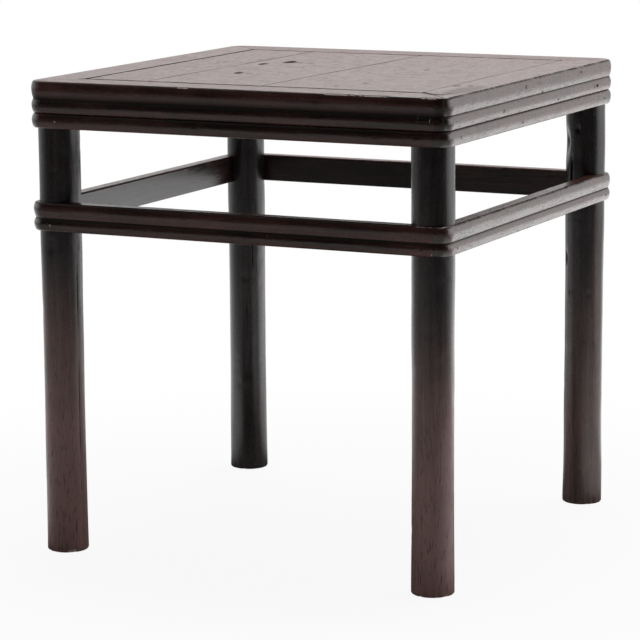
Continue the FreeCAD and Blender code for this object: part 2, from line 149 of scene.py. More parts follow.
@dataclass
class Skin:
    """A closed surface before it becomes a mesh.

    Attributes:
        points: One row for each point.
        faces: Corners of each face.
        marks: Painted numbers by name, one for each point.
    """

    points: Array
    faces: list[list[int]]
    marks: dict[str, Array] = field(default_factory=dict)

    @classmethod
    def tube(cls, grid: Array, marks: dict[str, Array] | None = None) -> "Skin":
        """A ring of points carried along rows, with a flat face on each end.

        Args:
            grid: Points by row, column and axis; the last column meets the first.
            marks: Painted numbers by row and column.

        Returns:
            The closed surface, with its faces outwards.
        """
        rows, columns = grid.shape[:2]
        index = np.arange(rows * columns).reshape(rows, columns)
        beside = np.roll(index, -1, axis=1)
        quads = np.stack([index[:-1], beside[:-1], beside[1:], index[1:]], -1).reshape(-1, 4)
        points = grid.reshape(-1, 3)
        corners = points[quads]
        normals = np.cross(corners[:, 2] - corners[:, 0], corners[:, 3] - corners[:, 1])
        outward = np.sum(normals * (corners.mean(1) - points.mean(0)))
        faces = quads.tolist() + [index[0][::-1].tolist(), index[-1].tolist()]
        if outward < 0:
            faces = [face[::-1] for face in faces]
        painted = {name: np.broadcast_to(values, (rows, columns)).ravel()
                   for name, values in (marks or {}).items()}
        return cls(points, faces, painted)

    def joined(self, other: "Skin") -> "Skin":
        """This surface and another one as two shells of one piece.

        Args:
            other: The other surface, which has no marks.

        Returns:
            Both.
        """
        start = len(self.points)
        faces = self.faces + [[corner + start for corner in face] for face in other.faces]
        marks = {name: np.concatenate([values, np.zeros(len(other.points))])
                 for name, values in self.marks.items()}
        return Skin(np.concatenate([self.points, other.points]), faces, marks)

    def piece(self, work: str, node: str, slot: str, material: bpy.types.Material,
              sharp_angle: float = 32.0) -> bpy.types.Object:
        """Make the mesh and set it in the place of a solid.

        Args:
            work: How the piece was made, the first word of its name.
            node: Solid that it stands for, the rest of its name.
            slot: Material slot of that solid; not used.
            material: Finish of the piece.
            sharp_angle: Edges that turn by more degrees than this stay sharp.

        Returns:
            The new object.
        """
        name = work + "_" + node
        mesh = bpy.data.meshes.new(name)
        mesh.from_pydata(self.points.tolist(), [], self.faces)
        mesh.polygons.foreach_set("use_smooth", np.ones(len(self.faces), dtype=bool))
        for mark, values in self.marks.items():
            layer = mesh.attributes.new(mark, "FLOAT", "POINT")
            layer.data.foreach_set("value", values.astype(np.float32))
        mesh.set_sharp_from_angle(angle=np.radians(sharp_angle))
        mesh.materials.append(material)
        mesh.update()
        piece = bpy.data.objects.new(name, mesh)
        bpy.context.scene.collection.objects.link(piece)
        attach(piece, "root")
        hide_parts(node)
        log.info("built %s", name)
        return piece


# Shader maths

class Value:
    """A number in a shader. Python's operators on it add Math nodes."""

    def __init__(self, shader: "Shader", socket: bpy.types.NodeSocket) -> None:
        """Wrap an output socket of a shader."""
        self.shader = shader
        self.socket = socket

    def math(self, operation: str, *others: Any) -> "Value":
        """Result of a Math node on this value and the others."""
        inputs = dict(enumerate((self, *others)))
        return self.shader.value("ShaderNodeMath", {"operation": operation}, inputs)

    def __add__(self, other: Any) -> "Value":
        """self + other."""
        return self.math("ADD", other)

    __radd__ = __add__

    def __sub__(self, other: Any) -> "Value":
        """self - other."""
        return self.math("SUBTRACT", other)

    def __rsub__(self, other: Any) -> "Value":
        """other - self."""
        return (self * -1.0) + other

    def __mul__(self, other: Any) -> "Value":
        """self * other."""
        return self.math("MULTIPLY", other)

    def __truediv__(self, other: Any) -> "Value":
        """self / other."""
        return self.math("DIVIDE", other)

    def __pow__(self, other: Any) -> "Value":
        """self ** other."""
        return self.math("POWER", other)

    def __abs__(self) -> "Value":
        """Size without the sign."""
        return self.math("ABSOLUTE")

    def most(self, other: Any) -> "Value":
        """The larger of the two."""
        return self.math("MAXIMUM", other)

    def least(self, other: Any) -> "Value":
        """The smaller of the two."""
        return self.math("MINIMUM", other)

    def ramp(self, low: float, high: float, start: float = 0.0, end: float = 1.0) -> "Value":
        """A smooth ramp.

        Args:
            low: Value at which the ramp starts.
            high: Value at which it ends, above or below low.
            start: Result at low and before it.
            end: Result at high and past it.

        Returns:
            The ramp's value.
        """
        settings = {"interpolation_type": "SMOOTHSTEP"}
        inputs = {"Value": self, "From Min": low, "From Max": high, "To Min": start, "To Max": end}
        return self.shader.value("ShaderNodeMapRange", settings, inputs)


def length_of(first: Value, second: Value) -> Value:
    """Length of a flat vector: (first^2 + second^2)^0.5."""
    return (first * first + second * second) ** 0.5


class Shader:
    """The nodes of one material or world."""

    def __init__(self, tree: bpy.types.NodeTree) -> None:
        """Start with an empty tree."""
        self.tree = tree
        tree.nodes.clear()

    @classmethod
    def of_material(cls, name: str) -> tuple[bpy.types.Material, "Shader"]:
        """Make a material.

        Args:
            name: Its name.

        Returns:
            The material and its nodes.
        """
        material = bpy.data.materials.new(name)
        material.use_nodes = True
        return material, cls(material.node_tree)

    def node(self, kind: str, settings: dict[str, Any] | None = None,
             inputs: dict[str | int, Any] | None = None) -> bpy.types.Node:
        """Add a node.

        Args:
            kind: The node's type.
            settings: Its properties, set first.
            inputs: Values, or links, of its input sockets.

        Returns:
            The node.
        """
        node = self.tree.nodes.new(kind)
        for name, setting in (settings or {}).items():
            setattr(node, name, setting)
        for name, content in (inputs or {}).items():
            socket = node.inputs[name]
            if isinstance(content, Value):
                content = content.socket
            if isinstance(content, bpy.types.NodeSocket):
                self.tree.links.new(content, socket)
            elif isinstance(content, tuple) and socket.type == "RGBA":
                socket.default_value = (*content, 1.0)
            else:
                socket.default_value = content
        return node

    def value(self, kind: str, settings: dict[str, Any] | None = None,
              inputs: dict[str | int, Any] | None = None, output: str | int = 0) -> Value:
        """Add a node and take one of its outputs as a number; see node()."""
        return Value(self, self.node(kind, settings, inputs).outputs[output])

    def surface(self, kind: str, inputs: dict[str | int, Any]) -> bpy.types.NodeSocket:
        """Add a node that makes a surface and take its output; see node()."""
        return self.node(kind, None, inputs).outputs[0]

    def show(self, surface: bpy.types.NodeSocket, kind: str = "Material") -> None:
        """Make a surface the one that the material or world shows."""
        self.node("ShaderNodeOutput" + kind, None, {0: surface})

    def place(self) -> bpy.types.NodeSocket:
        """The point's place in the piece's own frame."""
        return self.node("ShaderNodeTexCoord").outputs["Object"]

    def stretched(self, scale: Triple) -> bpy.types.NodeSocket:
        """The place, scaled along each axis, for a pattern that runs one way."""
        inputs = {"Vector": self.place(), "Scale": scale}
        return self.node("ShaderNodeMapping", None, inputs).outputs[0]

    def noise(self, vector: bpy.types.NodeSocket, scale: float, detail: float,
              roughness: float = 0.55, distortion: float = 0.0) -> Value:
        """Cloudy noise between about 0 and 1.

        Args:
            vector: Where it is read.
            scale: Number of lumps for each unit of the vector.
            detail: Finer layers.
            roughness: Strength of the finer layers.
            distortion: How much it is stirred.

        Returns:
            The noise.
        """
        inputs = {"Vector": vector, "Scale": scale, "Detail": detail, "Roughness": roughness,
                  "Distortion": distortion}
        return self.value("ShaderNodeTexNoise", None, inputs)

    def split(self, vector: bpy.types.NodeSocket) -> tuple[Value, Value, Value]:
        """X, Y and Z of a vector as numbers."""
        outputs = self.node("ShaderNodeSeparateXYZ", None, {0: vector}).outputs
        return Value(self, outputs[0]), Value(self, outputs[1]), Value(self, outputs[2])

    def axes(self) -> tuple[Value, Value, Value]:
        """X, Y and Z of the place as numbers."""
        return self.split(self.place())

    def mark(self, name: str) -> Value:
        """A number painted on the mesh."""
        return self.value("ShaderNodeAttribute", {"attribute_name": name}, None, "Fac")

    def blend(self, factor: Value, low: Any, high: Any) -> bpy.types.NodeSocket:
        """A mix of two colours, as numbers or sockets: the first at 0, the second at 1."""
        inputs = {0: factor, 6: low, 7: high}
        return self.node("ShaderNodeMix", {"data_type": "RGBA"}, inputs).outputs[2]

    def grey(self, level: Value) -> bpy.types.NodeSocket:
        """A grey between black at 0 and white at 1."""
        return self.blend(level, (0.0, 0.0, 0.0), (1.0, 1.0, 1.0))

    def bump(self, height: Value, distance: float, strength: float) -> bpy.types.NodeSocket:
        """A share of the bend that a height gives the normal; 1 stands for the distance."""
        inputs = {"Height": height, "Distance": distance, "Strength": strength}
        return self.node("ShaderNodeBump", None, inputs).outputs[0]


# Finishes

class Grain(Enum):
    """The axis along which a piece's wood grows."""

    X = (1.0, 0.0, 0.0)
    Y = (0.0, 1.0, 0.0)
    Z = (0.0, 0.0, 1.0)

    def scales(self, along: float, across: float) -> Triple:
        """Pattern scales: one along the grain and one across it."""
        return tuple(along if axis else across for axis in self.value)


class Plane(Enum):
    """A face of the table on which marks are drawn: its two axes, its outward axis, and where it starts."""

    TOP = (0, 1, 2, 0.8470)
    RIGHT = (1, 2, 0, 0.3900)

    def coordinates(self, shader: Shader) -> tuple[Value, Value]:
        """The place along the face's two axes."""
        axes = shader.axes()
        return axes[self.value[0]], axes[self.value[1]]

    def inside(self, shader: Shader) -> Value:
        """1 on the face and outside it, 0 below it."""
        _, _, axis, level = self.value
        return shader.axes()[axis].ramp(level, level + 0.0015)


@dataclass(frozen=True)
class Knot:
    """A dark knot or bruise: its middle and its reach along a face's two axes, and how dark it is."""

    first: float
    second: float
    half_first: float
    half_second: float
    strength: float = 1.0
    plane: Plane = Plane.TOP

    def share(self, shader: Shader, ragged: Value) -> Value:
        """Share of the knot at each point.

        The distance from its middle in units of its reach, pushed in and out by a noise, makes it fall
        to 0 outside.

        Args:
            shader: The nodes.
            ragged: Noise that frays the outline.

        Returns:
            Between 0 and the strength.
        """
        first, second = self.plane.coordinates(shader)
        across = (first - self.first) / self.half_first
        along = (second - self.second) / self.half_second
        distance = length_of(across, along) + (ragged - 0.5) * 1.5
        return distance.ramp(1.0, 0.55, 0.0, self.strength) * self.plane.inside(shader)


@dataclass(frozen=True)
class Stroke:
    """A dark straight line on the top, a crack or an open joint, between two points in X and Y."""

    start: Pair
    end: Pair
    half_width: float
    strength: float

    def share(self, shader: Shader, ragged: Value) -> Value:
        """Share of the line at each point.

        The distance from the nearest point of the line, which is its start plus the clipped share of the
        way to its end, makes it fall to 0 at its half width, pushed in and out by a noise.

        Args:
            shader: The nodes.
            ragged: Noise that frays the line.

        Returns:
            Between 0 and the strength.
        """
        first, second = Plane.TOP.coordinates(shader)
        run, rise = self.end[0] - self.start[0], self.end[1] - self.start[1]
        way = (first - self.start[0]) * run + (second - self.start[1]) * rise
        way = (way / (run * run + rise * rise)).most(0.0).least(1.0)
        across = first - self.start[0] - way * run
        along = second - self.start[1] - way * rise
        distance = length_of(across, along) / self.half_width + (ragged - 0.5) * 1.2
        return distance.ramp(1.0, 0.4, 0.0, self.strength) * Plane.TOP.inside(shader)


@dataclass(frozen=True)
class TenonEnd:
    """End grain of the through tenons, which shows near both ends of the front and back rails.

    Its middle lies at a distance from the middle of the table and at a height.
    """

    middle: float = 0.3625
    height: float = 0.8145
    half_width: float = 0.0125
    half_height: float = 0.0070

    def outline(self, shader: Shader) -> Value:
        """Outline of the end.

        Args:
            shader: The nodes.

        Returns:
            1 on the outline, falling to 0 on both sides of it.
        """
        x, _, z = shader.axes()
        outside = abs(abs(x) - self.middle) - self.half_width
        outside = outside.most(abs(z - self.height) - self.half_height)
        return abs(outside).ramp(0.0012, 0.0004)


@dataclass(frozen=True)
class Lacquer:
    """Old dark lacquer over hardwood: grain that shows through, pores, pits, worn edges and cracks.

    Meshes paint three numbers for it: "thin" where the lacquer is rubbed thin, which on the reeds' feet
    also tints their reflected highlight as painted light, "worn" where it may be rubbed through to the
    wood, whose light colour is also a painted glint, and "crack" where a gap or a crack holds dirt and
    where painted shade darkens grooves, hidden faces, the upper edges of the side bars, the legs' rims and
    the boards' end faces.

    Attributes:
        name: Name of the material.
        grain: Axis of the wood.
        deep: Colour where the lacquer is thick.
        thin: Colour where it is thin.
        bare_and_glint: Colour where the lacquer is worn through: bare wood, brightened into a painted glint
            of the worn edges.
        roughness: Roughness where it is thick.
        dulling: Extra roughness where it is thin.
        swing: How much the thickness varies: on thick lacquer, and how much more on thin.
        relief: Height of the grain's relief.
        pitting: Size of the pits.
        ior: Refraction index of the surface, which sets its gloss.
        marks: Knots and cracks at known places.
        tenon: End grain of tenons, where there is any.
        pore_dirt: Colour of the dirt in pores.
        dirt_and_shade: Colour of the dirt in pits and cracks, and of the painted shade that the crack mark
            carries.
    """

    name: str
    grain: Grain
    deep: Triple = (0.014, 0.0075, 0.0065)
    thin: Triple = (0.150, 0.050, 0.038)
    bare_and_glint: Triple = (0.60, 0.49, 0.42)
    roughness: float = 0.20
    dulling: float = 0.12
    swing: Pair = (0.9, 0.0)
    relief: float = 0.0003
    pitting: float = 0.22
    ior: float = 1.8
    marks: tuple[Knot | Stroke, ...] = ()
    tenon: TenonEnd | None = None
    pore_dirt: Triple = (0.006, 0.004, 0.0035)
    dirt_and_shade: Triple = (0.010, 0.006, 0.005)

    def pits(self, shader: Shader) -> Value:
        """Scattered pits: cells of uneven size, some with a hole round their middle.

        Args:
            shader: The nodes.

        Returns:
            1 in a pit, 0 elsewhere.
        """
        vector = shader.stretched(self.grain.scales(17.0, 46.0))
        cells = shader.node("ShaderNodeTexVoronoi", {"feature": "F1"}, {"Vector": vector, "Scale": 1.0})
        chance = shader.value("ShaderNodeSeparateColor", None, {0: cells.outputs["Color"]})
        radius = (chance - 0.62).most(0.0) * self.pitting
        return (radius - Value(shader, cells.outputs["Distance"])).ramp(0.0, 0.02)

    def filth_and_shade(self, shader: Shader, rubbed: Value, pores: Value, patch: Value) -> Value:
        """Share of matt dirt and painted shade: pits, cracks, the painted shade in the "crack" mark, known
        marks, and pores on the flat faces.

        Args:
            shader: The nodes.
            rubbed: How thin the lacquer is; the flat top has the highest values.
            pores: Share of pores.
            patch: Noise that frays the marks.

        Returns:
            Between 0 and 1.
        """
        flat = rubbed.ramp(0.70, 0.84).most(rubbed.ramp(0.30, 0.45, 0.0, 0.6))
        specks = flat * (pores * 0.30 + patch.ramp(0.5, 0.8) * 0.14)
        dirt_and_shade = self.pits(shader).most(shader.mark("crack")).most(specks)
        for mark in self.marks:
            dirt_and_shade = dirt_and_shade.most(mark.share(shader, patch))
        return dirt_and_shade

    def material(self) -> bpy.types.Material:
        """Build the nodes: noises and marks mix thick and thin lacquer, bare wood brightened into a painted
        glint, and matt dirt that also carries painted shade.

        Returns:
            The material.
        """
        material, shader = Shader.of_material(self.name)
        place = shader.place()
        streak = shader.noise(shader.stretched(self.grain.scales(6.0, 150.0)), 1.0, 4.0, 0.6, 0.3)
        pore = shader.noise(shader.stretched(self.grain.scales(42.0, 520.0)), 1.0, 3.0, 0.65)
        cloud = shader.noise(place, 7.0, 4.0, 0.6)
        patch = shader.noise(place, 38.0, 4.0, 0.62)
        rubbed = shader.mark("thin")
        swing = self.swing[0] + rubbed * self.swing[1]
        share = (rubbed * 1.1 + (cloud + streak - 1.0) * swing).ramp(-0.1, 1.0)
        pores = pore.ramp(0.53, 0.70)
        bare_and_glint = (shader.mark("worn") * 1.15 + patch * 0.9 - 0.95).ramp(0.0, 0.28)
        # The matt mix darkens dirt and also the painted shade carried by the crack mark.
        dirt_and_shade = self.filth_and_shade(shader, rubbed, pores, patch)
        if self.tenon:
            outline = self.tenon.outline(shader)
            dirt_and_shade = dirt_and_shade.most(outline * patch.ramp(0.58, 0.48, 0.0, 0.7))
            bare_and_glint = bare_and_glint.most(outline * patch.ramp(0.52, 0.62, 0.0, 0.15))
        colour = shader.blend(share, self.deep, self.thin)
        colour = shader.blend(pores * (0.2 + share * 0.4), colour, self.pore_dirt)
        # Worn-through places take a light colour: bare wood, brightened into a painted glint of the worn
        # edges.
        colour = shader.blend(bare_and_glint, colour, self.bare_and_glint)
        roughness = self.roughness + share * self.dulling + (patch - 0.5) * 0.14 + pores * 0.05
        height = streak * 0.35 + patch * 0.3 - pores * 0.35 - dirt_and_shade * 1.5
        normal = shader.bump(height, self.relief, 0.6)
        lacquer = shader.surface("ShaderNodeBsdfPrincipled", {
            "Base Color": colour, "Roughness": roughness, "Normal": normal, "IOR": self.ior})
        matt = shader.surface("ShaderNodeBsdfPrincipled", {
            "Base Color": self.dirt_and_shade, "Roughness": 0.9, "Normal": normal, "Specular IOR Level": 0.0})
        shader.show(shader.surface("ShaderNodeMixShader", {0: dirt_and_shade, 1: lacquer, 2: matt}))
        return material


@dataclass(frozen=True)
class Bamboo:
    """Split bamboo of the pegs: pale at the front left corner, where the lacquer came off, else dark."""

    name: str
    pale: Triple = (0.50, 0.45, 0.39)
    dark: Triple = (0.020, 0.010, 0.008)

    def material(self) -> bpy.types.Material:
        """Build the nodes: the corner mixes the two colours, and fine fibres mottle them.

        Returns:
            The material.
        """
        material, shader = Shader.of_material(self.name)
        x, y, _ = shader.axes()
        fibre = shader.noise(shader.place(), 900.0, 2.0)
        pale = x.ramp(-0.10, -0.20) * y.ramp(-0.10, -0.20) * (0.7 + fibre * 0.6)
        colour = shader.blend(pale, self.dark, self.pale)
        inputs = {"Base Color": colour, "Roughness": 0.4 + fibre * 0.2}
        shader.show(shader.surface("ShaderNodeBsdfPrincipled", inputs))
        return material


# Sub-assemblies

@dataclass(frozen=True)
class TableSizes:
    """Sizes that several pieces share.

    Attributes:
        half: Half of the table's width.
        seam_from_corner: Distance of the seam between two wrapping bars from the outer plane.
        wrap_skin: Thickness of a bar in front of a leg's neck.
        wrap_loss: How much thinner it is in the middle of the corner.
        reed_sagitta: Depth of the grooves between reeds.
        reed_crown: Where a reed stands out most, as a share of its height.
        leg_inset: Distance of a leg's axis from the outer plane.
        neck_half: Half of the squared neck's width.
        skin_inset: How far surfaces lie inside their solids.
        fit_gap: Gap between surfaces that meet.
    """

    half: float = 0.4035
    height: float = 0.850
    frame_bottom: float = 0.7935
    frame_reeds: tuple[float, ...] = (0.025, 0.0315)
    frame_width: float = 0.0795
    groove_bottom: float = 0.83385
    groove_top: float = 0.84215
    groove_depth: float = 0.010
    tongue_bottom: float = 0.834
    tongue_top: float = 0.842
    strip_bottom: float = 0.767
    strip_reeds: tuple[float, ...] = (0.0265,)
    stretcher_top: float = 0.636
    stretcher_bottom: float = 0.585
    stretcher_reeds: tuple[float, ...] = (0.0225, 0.0285)
    bar_thickness: float = 0.030
    wrap_skin: float = 0.015
    wrap_loss: float = 0.0055
    corner_radius: float = 0.032
    seam_from_corner: float = 0.025
    reed_sagitta: float = 0.0034
    reed_crown: float = 0.58
    leg_inset: float = 0.0435
    neck_half: float = 0.0285
    skin_inset: float = 0.0002
    fit_gap: float = 0.0002

    @property
    def straight(self) -> float:
        """Half of a bar's straight part, up to the round corner."""
        return self.half - self.corner_radius

    @property
    def shoulder(self) -> float:
        """Distance from the middle at which a bar meets a leg's neck."""
        return self.half - self.leg_inset - self.neck_half


SIZES = TableSizes()


@dataclass(frozen=True)
class Crack:
    """A long crack in a leg: its angle in radians, heights of its ends, reach to each side and depth."""

    angle: float
    low: float
    high: float
    width: float
    depth: float

    def share(self, height: Array, aside: Array) -> Array:
        """Share of the crack.

        Args:
            height: Height of each point.
            aside: Distance of each point from the crack, round the leg.

        Returns:
            1 in the crack, fading aside from it and towards its ends.
        """
        lower_end = smooth_step(self.low, self.low + 0.03, height)
        upper_end = smooth_step(self.high, self.high - 0.05, height)
        return np.exp(-(aside / self.width) ** 2) * (lower_end * upper_end)


@dataclass
class Leg:
    """A round leg with its squared necks inside the bars that wrap it.

    Attributes:
        corner: Name of the corner.
        sign_x: Side of the table along X.
        sign_y: Side of the table along Y.
        seed: Start of the random numbers.
        faded: How thin the lacquer is at the foot.
        cracks: Long cracks.
        hollows: Large hollows, placed by height and by angle in radians.
        dulled_and_shaded: Stretches without gloss, placed in the same way, with their strength as depth:
            dirt by the hollows, and wide painted shade that dims the rims' reflections.
        rubbed: Stretches where the lacquer is thin, in the same way.
        facing: Angle in the middle of the visible half, from which angles are counted both ways.
        straight_from: Height at which the swell under the top ends.
        girth_radius: Radius that turns a length round the leg into an angle.
        columns: Points round the leg.
    """

    corner: str
    sign_x: int
    sign_y: int
    seed: int
    faded: float
    cracks: tuple[Crack, ...] = ()
    hollows: tuple[Dent, ...] = ()
    dulled_and_shaded: tuple[Dent, ...] = ()
    rubbed: tuple[Dent, ...] = ()
    facing: float = -1.13
    waist_radius: float = 0.0360
    foot_radius: float = 0.0375
    top_radius: float = 0.0370
    waist_height: float = 0.300
    straight_from: float = 0.545
    foot_rounding: float = 0.0035
    girth_radius: float = 0.035
    columns: int = 132

    def radius(self, height: Array) -> Array:
        """Outline of the leg.

        Args:
            height: Height of each row.

        Returns:
            Waist radius plus a swell that grows with the square of the distance from the waist.
        """
        below = np.clip((self.waist_height - height) / self.waist_height, 0, 1)
        above = np.clip((height - self.waist_height) / (self.straight_from - self.waist_height), 0, 1)
        swell = (self.foot_radius - self.waist_radius) * below ** 2
        swell += (self.top_radius - self.waist_radius) * above ** 2
        return self.waist_radius + swell

    def rows(self) -> tuple[Array, Array, Array]:
        """Rows of the outline from the sole up.

        Returns:
            Height, inset of the foot's rounding, and 1 in the squared necks, for each row.
        """
        turn = np.linspace(0, np.pi / 2, 7)
        foot = self.foot_rounding * (1 - np.cos(turn))
        step = SIZES.fit_gap
        low = np.linspace(0.006, SIZES.stretcher_bottom - step, 190)
        low_neck = np.linspace(SIZES.stretcher_bottom, SIZES.stretcher_top, 3)
        high = np.linspace(SIZES.stretcher_top + step, SIZES.strip_bottom - step, 56)
        high_neck = np.linspace(SIZES.strip_bottom, SIZES.frame_bottom, 3)
        heights = np.concatenate([foot, low, low_neck, high, high_neck])
        insets = np.zeros(len(heights))
        insets[:len(turn)] = self.foot_rounding * (1 - np.sin(turn))
        neck = np.isin(heights, np.concatenate([low_neck, high_neck])).astype(float)
        return heights, insets, neck

    def neck_limit(self, angle: Array) -> Array:
        """Radius at which a ray from the axis leaves the squared neck.

        The neck stops at two outer planes, and at the inner corners where the bars' shoulders stand.

        Args:
            angle: Direction of each column.

        Returns:
            The smallest of those distances, or a large one.
        """
        out_x = self.sign_x * np.cos(angle)
        out_y = self.sign_y * np.sin(angle)
        flat = SIZES.neck_half - SIZES.fit_gap
        inner = SIZES.leg_inset - SIZES.bar_thickness - SIZES.fit_gap
        small = 1e-6
        far = np.full(angle.shape, 1.0)
        limit = np.minimum(np.where(out_x > small, flat / np.maximum(out_x, small), far),
                           np.where(out_y > small, flat / np.maximum(out_y, small), far))
        for first, second in ((out_x, out_y), (out_y, out_x)):
            shoulder = np.maximum(flat / np.maximum(-first, small), inner / np.maximum(second, small))
            limit = np.minimum(limit, np.where((first < 0) & (second > 0), shoulder, far))
        return limit

    def dents(self, offset: int, count: int, top: float, size: Pair, depth: float) -> list[Dent]:
        """Scattered dents up to a height, with their widths as angles.

        Args:
            offset: What is added to the seed.
            count: Number of dents.
            top: Largest height.
            size: Smallest and largest reach.
            depth: Largest depth.

        Returns:
            The dents.
        """
        dents = scattered_dents(self.seed + offset, count, (0.0, top), (0.0, 2 * np.pi), size, depth)
        return [replace(dent, width=dent.width / self.girth_radius) for dent in dents]

    def skin(self) -> Skin:
        """Turn the outline round the axis: point = axis + r(height, angle) * (cos, sin).

        The radius is the outline less the foot's rounding, plus ripples, less dents, hollows and cracks,
        and inside the necks no more than the neck's limit.

        Returns:
            The closed surface with its marks.
        """
        heights, insets, neck = self.rows()
        angles = np.linspace(0, 2 * np.pi, self.columns, endpoint=False)
        height, angle = np.meshgrid(heights, angles, indexing="ij")
        turned = self.facing + np.angle(np.exp(1j * (angle - self.facing)))
        bent = Ripple(self.seed, 0.30, 1.0, 0.00025).at(height, height * 0)
        ripple = np.cos(angle) * bent
        ripple += Ripple(self.seed + 1, 0.22, 2.6, 0.00025).at(height, np.sin(angle))
        knocks = self.dents(2, 70, 0.76, (0.004, 0.014), 0.0005)
        splinters = self.dents(3, 12, 0.004, (0.002, 0.006), 0.003)
        worn = np.clip(dent_depth(splinters, height, angle) / 0.0016, 0, 1)
        depth = dent_depth(knocks + splinters, height, angle)
        depth += dent_depth(self.hollows, height, turned)
        # Painted shade on the rims and dirt at the hollows; the matt finish takes both.
        dirt_and_shade = np.clip(dent_depth(self.dulled_and_shaded, height, turned), 0, 1)
        wander = Ripple(self.seed + 5, 0.12, 1.0, 0.018).at(height, height * 0)
        for crack in self.cracks:
            aside = np.angle(np.exp(1j * (angle - crack.angle - wander))) * self.girth_radius
            share = crack.share(height, aside)
            dirt_and_shade = np.maximum(dirt_and_shade, share)
            depth += crack.depth * share
        radius = (self.radius(heights) - insets)[:, None] + ripple - depth - SIZES.skin_inset
        radius = np.where(neck[:, None] > 0, np.minimum(radius, self.neck_limit(angles)), radius)
        axis = SIZES.half - SIZES.leg_inset
        grid = np.stack([self.sign_x * axis + radius * np.cos(angle),
                         self.sign_y * axis + radius * np.sin(angle), height], -1)
        sole_edge = smooth_step(0.012, 0.0, height) * 0.55 * self.faded
        thin = self.faded * smooth_step(0.62, 0.08, height) + dent_depth(self.rubbed, height, turned)
        worn = np.maximum(worn * self.faded, sole_edge)
        return Skin.tube(grid, {"worn": worn, "crack": dirt_and_shade, "thin": thin})

    def build(self, finish: bpy.types.Material) -> bpy.types.Object:
        """Build the leg and dress it in its finish."""
        return self.skin().piece("turned", "leg_" + self.corner, "leg_lacquer", finish)


